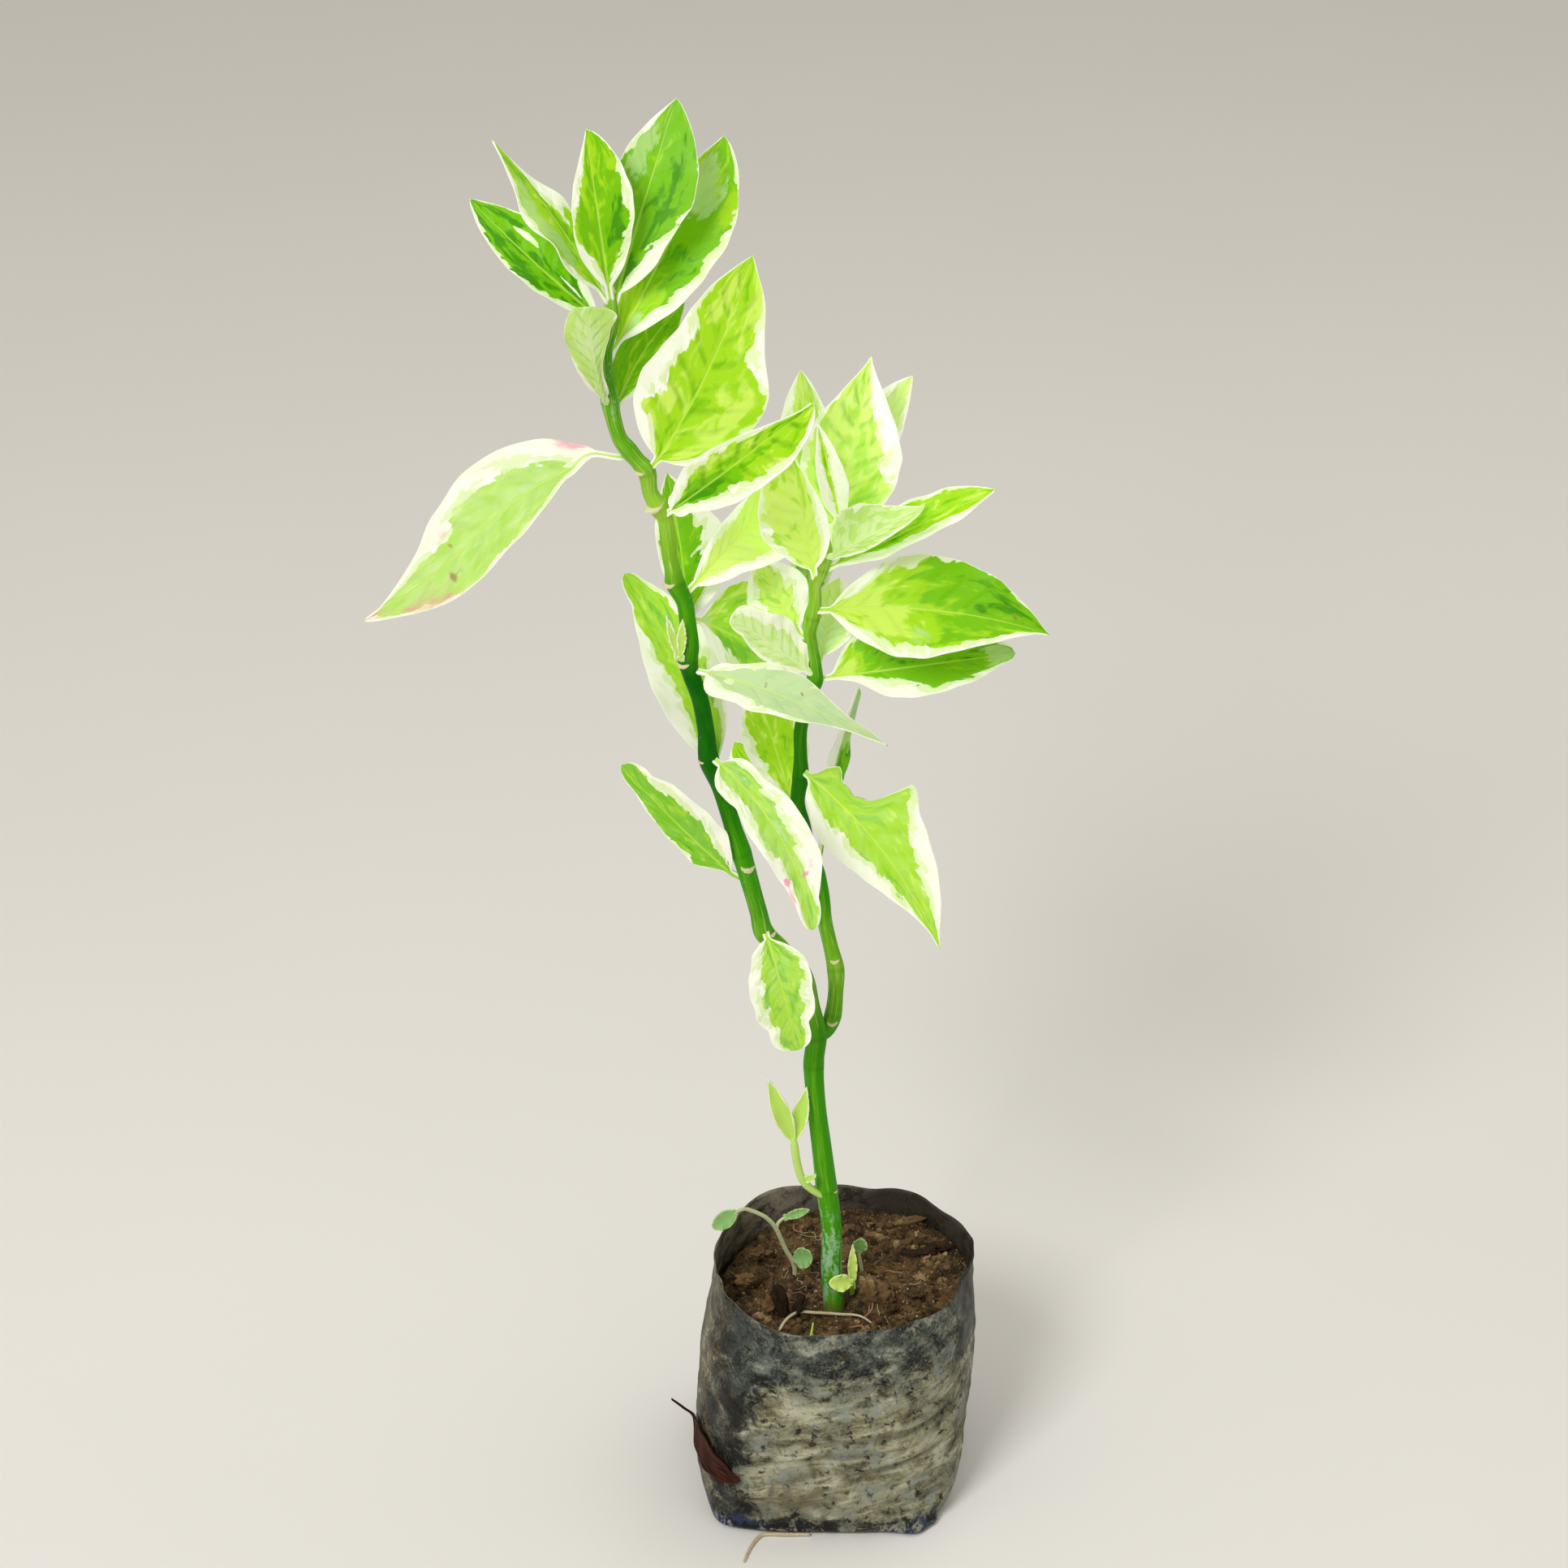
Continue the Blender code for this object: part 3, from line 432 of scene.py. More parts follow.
# %% Leaves of the top tuft
TOP_LEAVES = [
    leaf("left_top_leaf_1", (-73, -15, 473), (37, 33, 64), (15, 17.5),
         widest=(0.42, 0.56), bow=2, roll=10, deep=0.56, glow=0.2,
         left=(0.6, 0.8, 0.95, 1.1, 1.1, 1.0, 0.9, 0.9),
         right=(0.3, 0.45, 0.7, 0.85, 0.92, 0.98, 1.0, 1.0),
         spots=[("bloom", 0.78, -0.2, 0.16, 1.0, 0.85), ("deep", 0.2, 0.0, 0.12, 0.8, -0.3),
                ("deep", 0.45, 0.1, 0.14, 0.8, 0.3), ("bloom", 0.12, 0.3, 0.1, 0.4, 0.7)]),
    leaf("left_top_leaf_2", (-72, -16, 490), (21, 20, 65), (14, 17),
         widest=(0.46, 0.52), bow=2, roll=-5, deep=0.64, soft=0.06, shape=[(1, 0.35, -0.16, 0.15)],
         left=(0.6, 0.9, 1.1, 1.1, 1.1, 0.92, 0.8, 0.9),
         right=(0.3, 0.4, 0.6, 0.85, 1.1, 1.1, 1.1, 1.1),
         spots=[("bloom", 0.75, -0.5, 0.3, 0.5, 0.6), ("bloom", 0.3, -0.2, 0.2, 0.3, 0.2),
                ("deep", 0.6, 0.6, 0.3, 0.4, 0.2), ("deep", 0.2, 0.3, 0.15, 0.5, 0.3)]),
    leaf("left_top_leaf_3", (-73, -18, 493), (-7, 4, 58), (9, 12.5),
         widest=(0.42, 0.56), bow=2, deep=0.5,
         left=(0.25, 0.3, 0.7, 1.05, 0.72, 0.65, 0.75, 0.8),
         right=(0.25, 0.35, 0.75, 0.92, 0.85, 0.95, 1.0, 1.0),
         spots=[("deep", 0.45, 0.5, 0.22, 0.45, 0.5), ("deep", 0.4, -0.5, 0.3, 0.5, 0.05)]),
    leaf("left_top_leaf_4", (-74, -18, 492), (-37, 10, 53), (11, 10.5),
         widest=(0.45, 0.32), bow=2, roll=52, fold=(5, 5), deep=0.42, wave=1.4,
         shape=[(0, 0.5, 0.25, 0.3)],
         left=(0.4, 0.7, 0.85, 0.95, 0.9, 0.8, 0.8, 0.8),
         right=(0.3, 0.5, 0.5, 0.4, 0.3, 0.3, 0.4, 0.6),
         spots=[("bloom", 0.5, -0.6, 0.5, 0.5, 0.65), ("green", 0.35, 0.75, 0.2, 0.2, 0.9)]),
    leaf("left_top_leaf_5", (-74, -16, 483), (-46, 20, 37), (9, 10.5),
         widest=(0.5, 0.5), bow=2, sweep=-2, roll=20, deep=0.85, shape=[(1, 0.62, 0.3, 0.14)],
         left=(0.5, 0.6, 0.75, 0.85, 0.9, 0.85, 0.9, 1.0),
         right=(0.5, 0.8, 0.95, 1.1, 1.1, 0.95, 0.9, 1.0),
         spots=[("green", 0.62, 0.36, 0.14, 0.13, -1.0), ("green", 0.3, 0.25, 0.12, 0.1, -0.9),
                ("green", 0.14, 0.7, 0.12, 0.35, -1.0)]),
]
print(len(TOP_LEAVES), "leaves in the top tuft")

# %% Leaves of the right branch
RIGHT_LEAVES = [
    leaf("right_leaf_01_edge_on", (-3, 8, 263), (14, 19, 62), (6, 6), blunt=0.6,
         widest=(0.5, 0.5), sweep=-4, roll=58, fold=(10, 10), deep=0.85,
         left=(0.0, 0.0, 0.05, 0.1, 0.1, 0.1, 0.2, 0.3),
         right=(0.8, 0.9, 1.0, 1.1, 1.1, 1.1, 1.0, 1.0),
         spots=[("bloom", 0.85, 0.0, 0.2, 2.0, 1.2)]),
    leaf("right_leaf_02_back", (-12, 9, 284), (-15, 19, 45), (11, 13), widest=(0.5, 0.5),
         deep=0.3, soft=0.04, glow=0.3, left=(0.4, 0.5, 0.6, 0.66, 0.72, 0.8, 0.9, 1.0)),
    leaf("right_leaf_03_back_low", (-10, 7, 281), (-24, 28, 17), (11, 11),
         widest=(0.5, 0.5), deep=0.42, glow=0.25,
         left=(0.4, 0.5, 0.6, 0.66, 0.7, 0.7, 0.8, 0.9),
         right=(0.4, 0.5, 0.6, 0.6, 0.6, 0.6, 0.7, 0.8)),
    leaf("right_leaf_04_bitten", (-9, 6, 302), (49, -28, -57), (19, 15),
         widest=(0.36, 0.3), bow=4, sweep=-5, power=0.7, bite=0.62, deep=0.36, butt=(0.58, 0.6),
         shape=[(0, 0.37, 0.24, 0.07)], soft=0.12, glow=0.2,
         left=(1.0, 1.1, 1.1, 0.8, 0.55, 0.5, 0.62, 0.9),
         right=(0.7, 0.6, 0.5, 0.5, 0.55, 0.6, 0.75, 0.9),
         spots=[("bloom", 0.5, 0.0, 0.6, 2.0, 0.28), ("blush", 0.42, 0.45, 0.07, 0.15, 0.5),
                ("mark", 0.235, -1.0, 0.1, 0.05, 0.9), ("mark", 0.9, 0.1, 0.01, 0.08, 0.8)]),
    leaf("right_leaf_05_underside", (-6, 9, 340), (-28, -20, 33), (11, 6),
         roll=180, fold=(10, 10), deep=0.15, glow=0.28, blunt=0.6, butt=(0.7, 0.7), soft=0.3,
         left=(0.6, 0.6, 0.6, 0.65, 0.6, 0.6, 0.55, 0.5),
         spots=[("bloom", 0.5, 0.0, 0.6, 2.0, 0.35)]),
    leaf("right_leaf_06_lower", (-3, 11, 337), (69, 2, 9), (17, 12),
         widest=(0.3, 0.48), roll=-10, deep=0.7, blunt=0.34, shape=[(1, 0.15, -0.5, 0.1)],
         left=(0.4, 0.8, 1.0, 1.1, 1.1, 1.0, 0.9, 0.9),
         right=(0.2, 0.25, 0.42, 0.62, 0.75, 0.82, 0.85, 0.9),
         spots=[("bloom", 0.93, 0.0, 0.12, 1.0, 0.8), ("deep", 0.12, 0.0, 0.12, 1.0, -0.7)]),
    leaf("right_leaf_07_inner", (-9, 9, 354), (-17, 5, 28), (11, 12), widest=(0.5, 0.5),
         deep=0.12, soft=0.15, glow=0.25, left=(0.5, 0.5, 0.55, 0.6, 0.6, 0.6, 0.6, 0.8),
         right=(0.4, 0.4, 0.45, 0.45, 0.5, 0.5, 0.6, 0.8)),
    leaf("right_leaf_08_broad", (-4, 8, 365), (81, -8, -5), (19.5, 19),
         widest=(0.45, 0.38), bow=3, sweep=-4, roll=-10, deep=0.5,
         left=(0.5, 0.65, 0.8, 0.95, 1.1, 1.1, 1.1, 1.1),
         right=(0.3, 0.6, 0.78, 0.85, 0.88, 0.8, 0.6, 0.5),
         spots=[("deep", 0.2, -0.3, 0.2, 0.8, -0.5), ("deep", 0.75, -0.5, 0.3, 0.6, 0.35),
                ("deep", 0.3, 0.4, 0.2, 0.4, -0.3), ("bloom", 0.45, 0.55, 0.12, 0.3, 0.55),
                ("mark", 0.84, -0.25, 0.008, 0.05, 1.3), ("mark", 0.6, -0.45, 0.006, 0.03, 0.7)]),
    leaf("right_leaf_09_behind_stem", (-6, 13, 362), (0, 15, 30), (8, 8),
         widest=(0.5, 0.5), deep=0.7, spots=[("bloom", 0.5, 0.0, 0.5, 2.0, 0.5)]),
    leaf("right_leaf_10_upright", (-5, 9, 377), (-9, -9, 56), (16, 8.5),
         widest=(0.5, 0.35), deep=0.1, glow=0.42, soft=0.1,
         left=(0.5, 0.75, 0.85, 0.88, 0.93, 1.0, 1.0, 1.0),
         right=(0.3, 0.5, 0.6, 0.5, 0.6, 0.8, 0.9, 1.0),
         spots=[("deep", 0.95, 0.0, 0.1, 1.0, 0.6)]),
    leaf("right_leaf_11_folded", (-2, 12, 379), (59, -6, 34), (10, 10),
         widest=(0.52, 0.5), roll=-30, fold=(30, 30), deep=0.3, glow=0.2,
         left=(0.5, 0.7, 0.9, 0.95, 0.95, 0.95, 0.9, 0.9),
         right=(0.2, 0.3, 0.4, 0.46, 0.5, 0.58, 0.65, 0.8),
         # The deep spot over the fold is painted shadow.
         spots=[("deep", 0.4, 0.1, 0.2, 0.3, 0.45)]),
    leaf("right_leaf_12_pale_front", (0.5, 9.5, 385), (31.5, -20, 30), (4, 12.5),
         widest=(0.5, 0.32), bow=-5, roll=180, fold=(5, 5), power=0.6,
         deep=0.2, glow=0.25, vein=0.5, butt=(0, 0.85),
         right=(0.4, 0.7, 0.9, 0.95, 0.95, 1.0, 1.0, 1.0)),
    leaf("right_leaf_13_pale_behind", (-4, 13, 340), (8, 20, 26), (9, 10), widest=(0.5, 0.5),
         deep=0.1, glow=0.2, soft=0.3, spots=[("bloom", 0.3, 0.0, 0.4, 2.0, 0.8)],
         right=(0.4, 0.6, 0.8, 0.85, 0.7, 0.5, 0.3, 0.2)),
    leaf("right_top_bud_leaf", (4.5, 11.5, 394), (-9, -7, 45), (6, 7),
         fold=(40, 40), deep=0.2, glow=0.3,
         left=(0.3, 0.3, 0.3, 0.35, 0.4, 0.5, 0.6, 0.8),
         right=(0.1, 0.1, 0.15, 0.15, 0.2, 0.3, 0.3, 0.5)),
    leaf("right_top_leaf_1", (2, 13, 390), (12, 9, 66), (18, 18), widest=(0.4, 0.4),
         deep=0.14, glow=0.36, soft=0.18, vein=0.45, quilt=1.0,
         left=(0.8, 0.9, 0.95, 0.95, 0.95, 0.93, 0.95, 1.0),
         right=(0.8, 0.95, 0.9, 0.66, 0.5, 0.42, 0.4, 0.5)),
    leaf("right_top_leaf_2", (3, 13, 386), (26, 29, 54), (12, 8),
         widest=(0.5, 0.5), sweep=-3, deep=0.1, glow=0.3, soft=0.3,
         left=(0.4, 0.6, 0.7, 0.75, 0.7, 0.7, 0.7, 0.8),
         right=(0.4, 0.5, 0.6, 0.7, 0.6, 0.7, 0.7, 0.8),
         spots=[("bloom", 0.6, 0.0, 0.4, 2.0, 0.6)]),
    leaf("right_top_leaf_3", (-1, 13, 384), (-9, 34, 56), (12, 9),
         widest=(0.5, 0.5), deep=0.15, glow=0.3, soft=0.15,
         left=(0.5, 0.6, 0.7, 0.72, 0.66, 0.6, 0.6, 0.7),
         right=(0.5, 0.6, 0.6, 0.7, 0.6, 0.6, 0.7, 0.8)),
]
print(len(RIGHT_LEAVES), "leaves on the right branch")

# %% [markdown]
# The midrib is an arc from the stem to the tip, and the blade hangs on it like two
# sails. Bones or curves could bend a flat blade, but with the midrib as a sum each leaf
# stays a few numbers. The upper face of an unturned leaf looks toward the viewer's side
# and upward.

# %% Midrib
FACING = np.array([0.0, -0.87, 0.49])


def unit(vector):
    """The vector made one long."""
    return vector / np.linalg.norm(vector)


def unit_rows(rows):
    """Each row of numbers made one long."""
    return rows / np.linalg.norm(rows, axis=1)[:, None]


def midrib_frames(item, along):
    """Midrib points with the upper face and right hand directions of a leaf."""
    reach = np.array(item["reach"], float)
    axis = unit(reach)
    front = unit(FACING - axis * (FACING @ axis))
    side = np.cross(axis, front)
    turn = math.radians(item["roll"])
    up = front * math.cos(turn) + side * math.sin(turn)
    right = np.cross(axis, up)
    offset = up * item["bow"] + right * item["sweep"]
    bend = 2 * math.pi * along
    points = np.array(item["base"], float) + np.outer(along, reach)
    points = points + np.outer(4 * along * (1 - along), offset)
    points = points + np.outer(np.sin(bend), right * item["ess"])
    tangent = reach + np.outer(4 - 8 * along, offset)
    tangent = unit_rows(tangent + np.outer(2 * math.pi * np.cos(bend), right * item["ess"]))
    ups = unit_rows(up - tangent * (tangent @ up)[:, None])
    return points, ups, np.cross(tangent, ups)


# %% [markdown]
# Each half of a blade swells from the stalk to its widest place and narrows to the tip.
# One formula with two powers gives that outline. Wavering, bulges, a blunt tip, a round
# base and the bite out of one leaf are then laid over it.

# %% Half width
STALK_HALF_WIDTH = 1.25
# Share of the half width that a tip keeps unless a leaf says otherwise
PLAIN_BLUNT = 0.07
# Half number that stands for both halves of a leaf
BOTH = 2
# Places along the midrib: where the round of the tip starts and how long it is
TIP_START, TIP_LENGTH = 0.86, 0.14
# Place along the midrib of the bite, and how far it reaches to either side
BITE_PLACE, BITE_REACH = 0.235, 0.115


def smooth_step(low, high, value):
    """0 below low, 1 above high and an even ramp between."""
    t = np.clip((value - low) / (high - low), 0, 1)
    return t * t * (3 - 2 * t)


def bell(gap, spread):
    """1 where the gap is 0, and soon 0 beyond the spread."""
    return np.exp(-(gap / spread) ** 2)


def waver(along, draw):
    """Small unevenness of a leaf's edge, as a factor near 1."""
    phase = draw.uniform(0, 6.28, 2)
    return 1 + 0.02 * np.sin(15 * along + phase[0]) + 0.012 * np.sin(41 * along + phase[1])


def bitten(along, depth):
    """Share of the width that is left where the leaf was eaten."""
    gap = np.clip(1 - ((along - BITE_PLACE) / BITE_REACH) ** 2, 0, 1) ** 0.6
    return 1 - depth * gap * (1 + 0.05 * np.sin(90 * along))


def half_width(item, along, side, draw):
    """Width of one half of the blade at each place along the midrib."""
    looks, half = item["looks"], item["halves"][side]
    start = item["stalk"] / np.linalg.norm(item["reach"])
    place = np.clip((along - start) / (1 - start), 0, 1)
    middle, rise = item["widest"][side], item["power"]
    fall = rise * (1 - middle) / middle
    width = half * (place ** rise * (1 - place) ** fall / (middle ** rise * (1 - middle) ** fall))
    width = width * waver(along, draw)
    for which, middle, share, spread in looks.get("shape", ()):
        if which in (side, BOTH):
            width = width * (1 + share * bell(along - middle, spread))
    cap = np.sqrt(np.clip(1 - (np.maximum(along - TIP_START, 0) / TIP_LENGTH) ** 2, 0, 1))
    blunt = np.broadcast_to(looks.get("blunt", PLAIN_BLUNT), 2)[side] * half
    width = np.maximum(width, blunt * cap * smooth_step(0.5, 0.8, along))
    butt = looks.get("butt", (0, 0))[side] * half
    round_end = np.sqrt(1 - (1 - np.clip(place / 0.1, 0, 1)) ** 2)
    width = np.maximum(width, butt * round_end * (1 - smooth_step(0.2, 0.5, along)))
    if item["bite"] and side == 0:
        width = width * bitten(along, item["bite"])
    return np.maximum(width, STALK_HALF_WIDTH * (1 - smooth_step(0.1, 0.3, along)))


print("a leaf stalk is", 2 * STALK_HALF_WIDTH, "mm wide")

# %% [markdown]
# A real blade is folded along its midrib, waves along its edge and is quilted between
# its side veins. These are moved points, so that they catch the light from every side.

# %% Blade
# Millimetres a side vein runs toward the tip for each millimetre outward
VEIN_SLANT = 0.72
# Share of the midrib that bends toward the stem
JOINT_SHARE = 0.09
# Roundness of the fold beside the midrib
FOLD_ROUND = 0.12
# Where the waves of the left and right edge start
WAVE_STARTS = (2.6, 0.8)
# Millimetres that the fine frill of the edge and the plain quilting stand out
FRILL_HEIGHT = 0.6
PLAIN_QUILT = 0.5


def vein_slant(item):
    """How far a side vein runs along the leaf on its way from midrib to edge."""
    return VEIN_SLANT * max(item["halves"]) / np.linalg.norm(item["reach"])


def blade_lift(item, along, size, side, width, frill):
    """How far the blade stands over its midrib at a share of its half width."""
    angle = math.radians(item["fold"][side])
    lift = (math.hypot(size, FOLD_ROUND) - FOLD_ROUND) * math.sin(angle) * width
    start = WAVE_STARTS[side]
    share = width / max(item["halves"])
    lift = lift + item["wave"] * np.sin(4 * math.pi * along + start) * size ** 2 * share
    ruffle = np.sin(2 * math.pi * frill * along + start * 2)
    lift = lift + FRILL_HEIGHT * ruffle * size ** 4 * share
    quilt = np.sin(2 * math.pi * SIDE_VEINS * (along - vein_slant(item) * size))
    return lift + item["looks"].get("quilt", PLAIN_QUILT) * (quilt * size * (1 - size)) * share


def blade_grid(item, along, across, draw):
    """Rows of points from base to tip, and the width of the half that each lies in."""
    points, ups, rights = midrib_frames(item, along)
    pull = np.clip(1 - along / JOINT_SHARE, 0, 1)[:, None] ** 2
    points = points + pull * item.get("toward_stem", 0.0)
    rise, middle, spread = item["looks"].get("neck", (0, 0, 1))
    points = points + rights * (rise * bell(along - middle, spread))[:, None]
    grid = np.zeros((len(along), len(across), 3))
    widths = np.zeros((len(along), len(across)))
    frill = draw.uniform(3.0, 5.0)
    sides = [half_width(item, along, side, draw) for side in (0, 1)]
    for column, place in enumerate(across):
        side = 0 if place < 0 else 1
        width = sides[side]
        reach = place * math.cos(math.radians(item["fold"][side]))
        lift = blade_lift(item, along, abs(place), side, width, frill)
        grid[:, column] = points + rights * (reach * width)[:, None] + ups * lift[:, None]
        widths[:, column] = width
    return grid, widths


def grid_normals(grid):
    """Unit normals of a grid of points, toward the upper face."""
    normals = np.cross(np.gradient(grid, axis=1), np.gradient(grid, axis=0))
    normals[-1] = normals[-2]
    lengths = np.linalg.norm(normals, axis=2)[:, :, None]
    return normals / np.maximum(lengths, 1e-9)


def blade_faces(rows, columns):
    """Faces of a closed blade whose rows meet in one point at the tip."""
    tip = rows * columns
    count = tip + 1
    faces = []
    for first in range(0, tip - columns, columns):
        for a in range(first, first + columns - 1):
            faces.append((a, a + 1, a + columns + 1, a + columns))
    last = tip - columns
    faces += [(last + k, last + k + 1, tip) for k in range(columns - 1)]
    faces += [tuple(corner + count for corner in reversed(face)) for face in faces]
    edge = [*range(columns), *range(2 * columns - 1, tip, columns), tip]
    edge += range(last, 0, -columns)
    for a, b in zip(edge, edge[1:] + edge[:1]):
        faces.append((b, a, a + count, b + count))
    return faces


def skin_rows(values):
    """Values of a grid in one row, which ends with a single value for the tip."""
    rows = values[:-1].reshape(-1, *values.shape[2:])
    return np.concatenate([rows, values[-1:, values.shape[1] // 2]])


print("side veins lean", round(math.degrees(math.atan(VEIN_SLANT))), "degrees toward the tip")

# %% [markdown]
# The blade is a closed skin: an upper and a lower face that meet in a thin rim. A plain
# sheet would be lighter, but it has no thickness where it is seen edge on. The skin is
# thickest along the midrib, which stands out below as a keel and sinks in above, and
# its base narrows to a short round stalk.

# %% Skin of a leaf
ROWS = 56
HALF_COLUMNS = 12
# Looks that spots change, and the plain values of those that are even over a leaf
SPOT_LOOKS = ("green", "deep", "bloom", "blush", "mark")
PLAIN_DEEP = 0.35
# Glow is the strength of the painted glow, and vein that of the painted crease shade
PLAIN_LOOKS = {"glow": 0.12, "vein": 0.1, "soft": 0.0}
# Thickness at the middle, what the rim lacks of it and what the stalk adds, in millimetres
BLADE_THICKNESS, RIM_LOSS, STALK_GAIN = 0.72, 0.42, 0.9
# Height of the keel below and depth of the groove above, with their half widths
KEEL, KEEL_WIDTH = 0.6, 0.9
GROOVE, GROOVE_WIDTH = 0.22, 0.6
# Step between the seeds of leaves, which gives each its own blotches
SEED_STEP = 0.37
# Start and width of a leaf on its flat map, and how far its two faces lie apart there
MAP_START, MAP_WIDTH, MAP_GAP = 0.1, 0.38, 0.45


def leaf_looks(item, along, across):
    """Fields that say where a leaf is green, deep, cool, pink or marked."""
    looks = item["looks"]
    place, out = np.meshgrid(along, across, indexing="ij")
    left = np.interp(place, STATIONS, looks.get("left", PLAIN_LEFT))
    right = np.interp(place, STATIONS, looks.get("right", PLAIN_RIGHT))
    fields = {name: np.zeros_like(place) for name in SPOT_LOOKS}
    fields["green"] = np.where(out < 0, left, right) - np.abs(out)
    fields["deep"] += looks.get("deep", PLAIN_DEEP)
    for name, plain in PLAIN_LOOKS.items():
        fields[name] = np.full_like(place, looks.get(name, plain))
    fields["slant"] = np.full_like(place, vein_slant(item))
    for name, u, v, spread_u, spread_v, amount in looks.get("spots", ()):
        fields[name] += amount * bell(place - u, spread_u) * bell(out - v, spread_v)
    fields["along"], fields["across"] = place, out
    return fields


def skin_points(grid, widths, along, across):
    """Upper and lower points of a blade with its keel, rim and stalk."""
    normals = grid_normals(grid)
    size = np.abs(across)[None, :]
    stalk = bell(along, 0.08)[:, None]
    slim = (1 - along)[:, None]
    thick = BLADE_THICKNESS - RIM_LOSS * size ** 4 + STALK_GAIN * stalk * (1 - size ** 2)
    keel = KEEL * bell(size * widths, KEEL_WIDTH) * slim
    groove = GROOVE * bell(size * widths, GROOVE_WIDTH) * slim
    upper = grid + normals * (thick / 2 - groove)[:, :, None]
    lower = grid - normals * (thick / 2 + keel)[:, :, None]
    return upper, lower


def add_leaf(item, number):
    """One fine leaf in place of its solid."""
    draw = np.random.default_rng(100 + number)
    along = np.linspace(0, 1, ROWS + 1)
    across = np.sin(np.linspace(-1, 1, 2 * HALF_COLUMNS + 1) * math.pi / 2)
    grid, widths = blade_grid(item, along, across, draw)
    points = np.concatenate([skin_rows(face) for face in skin_points(grid, widths, along, across)])
    looks = leaf_looks(item, along, across)
    looks["off"] = np.abs(across)[None, :] * widths
    looks["edge"] = (1 - np.abs(across))[None, :] * widths
    fields = {name: np.tile(skin_rows(values), 2) for name, values in looks.items()}
    fields["under"] = np.repeat([0.0, 1.0], len(points) // 2)
    fields["seed"] = number * SEED_STEP % 5
    flat_x = MAP_START + MAP_WIDTH * (fields["across"] + 1) / 2 + MAP_GAP * fields["under"]
    uv = np.stack([flat_x, fields["along"]], axis=1)
    return new_piece(item["name"] + "_blade", points, blade_faces(ROWS, len(across)), leaf_paint,
                     [item["name"]], fields, uv)


print("each blade has", len(blade_faces(ROWS, 2 * HALF_COLUMNS + 1)), "faces")

# %% [markdown]
# The stem is fleshy and zigzags a little from node to node. It is deep green and shiny
# low down, paler and streaked higher up, with a grey bloom above the soil. A bevelled
# curve would do for its form, but not for its ribs and scars. So two tubes of points
# follow the same centre lines as the solids, smoothed with a spline.

# %% Stem lines
MAIN_STEM = [
    (3, -15, 58, 3.6), (3, -15, 82, 4.0), (2, -15, 100, 3.9), (2, -15, 117, 3.8),
    (0, -14, 135, 4.0), (-2, -14, 154, 3.7), (-4, -13, 172, 3.5), (-5, -12, 189, 3.7),
    (-4, -12, 202, 3.7), (-6, -13, 215, 3.2), (-9, -15, 230, 3.2), (-17, -17, 242, 3.2),
    (-23, -19, 250, 3.5), (-25, -20, 259, 3.2), (-27, -21, 268, 3.2), (-31, -22, 285, 3.5),
    (-34, -22, 296, 3.1), (-38, -22, 311, 3.1), (-42, -23, 323, 3.5), (-43, -22, 334, 3.0),
    (-45, -21, 346, 3.0), (-48, -20, 355, 3.1), (-49, -20, 361, 3.4), (-48, -20, 366, 2.9),
    (-49, -19, 375, 2.9), (-50, -18, 382, 2.9), (-53, -18, 389, 3.3), (-54, -18, 395, 2.8),
    (-55, -18, 401, 2.7), (-56, -18, 413, 2.8), (-58, -19, 418, 3.2), (-61, -19, 424, 2.7),
    (-62, -20, 432, 3.0), (-65, -20, 436, 2.8), (-68, -20, 440, 3.0), (-71, -19, 444, 2.6),
    (-73, -18, 451, 2.7), (-74, -18, 457, 3.0), (-75, -18, 467, 2.4), (-75, -18, 476, 2.4),
    (-73, -18, 484, 2.4), (-73, -17, 491, 2.2), (-73, -17, 496, 1.0),
]
RIGHT_BRANCH = [
    (-5, -13, 197, 2.0), (-3, -11, 201, 2.9), (0, -9, 203, 3.0), (2, -8, 208, 3.1),
    (3, -5, 216, 2.8), (3, -2, 224, 3.1), (1, 0, 233, 2.7), (-1, 2, 242, 2.7),
    (-2, 3, 252, 2.7), (-4, 4, 261, 2.9), (-7, 5, 271, 2.6), (-9, 6, 280, 2.7),
    (-11, 7, 289, 2.6), (-10, 8, 299, 2.9), (-10, 8, 308, 2.4), (-10, 8, 318, 2.4),
    (-8, 9, 327, 2.4), (-6, 10, 333, 2.5), (-5, 10, 337, 2.9), (-5, 10, 343, 2.4),
    (-6, 10, 349, 2.3), (-7, 10, 356, 2.5), (-6, 10, 362, 2.8), (-5, 10, 368, 2.3),
    (-5, 10, 375, 2.3), (-3, 11, 380, 2.7), (-1, 12, 386, 2.3), (2, 12, 391, 2.4),
    (5, 11, 395, 1.2),
]
# Heights of the nodes, where leaves grew and left a ring
MAIN_NODES = (135, 189, 202, 250, 285, 323, 361, 389, 418, 432, 457)
RIGHT_NODES = (208, 224, 261, 299, 337, 362, 380)


def between(a, b, c, d, t):
    """A smooth way from b to c that knows the values before and after them."""
    return 0.5 * (2 * b + (c - a) * t + (2 * a - 5 * b + 4 * c - d) * t ** 2
                  + (3 * b - a - 3 * c + d) * t ** 3)


def spline(rows, steps):
    """Rows of numbers with smooth in between rows added."""
    rows = np.array(rows, float)
    wide = np.vstack([2 * rows[0] - rows[1], rows, 2 * rows[-1] - rows[-2]])
    t = np.linspace(0, 1, steps, endpoint=False)[:, None]
    parts = [between(a, b, c, d, t) for a, b, c, d in zip(wide, wide[1:], wide[2:], wide[3:])]
    return np.vstack(parts + [rows[-1:]])


def ring_faces(rings, sides):
    """Faces between rings of points that follow each other."""
    faces = []
    for ring in range(rings - 1):
        for step in range(sides):
            a = ring * sides + step
            b = ring * sides + (step + 1) % sides
            faces.append((a, b, b + sides, a + sides))
    return faces


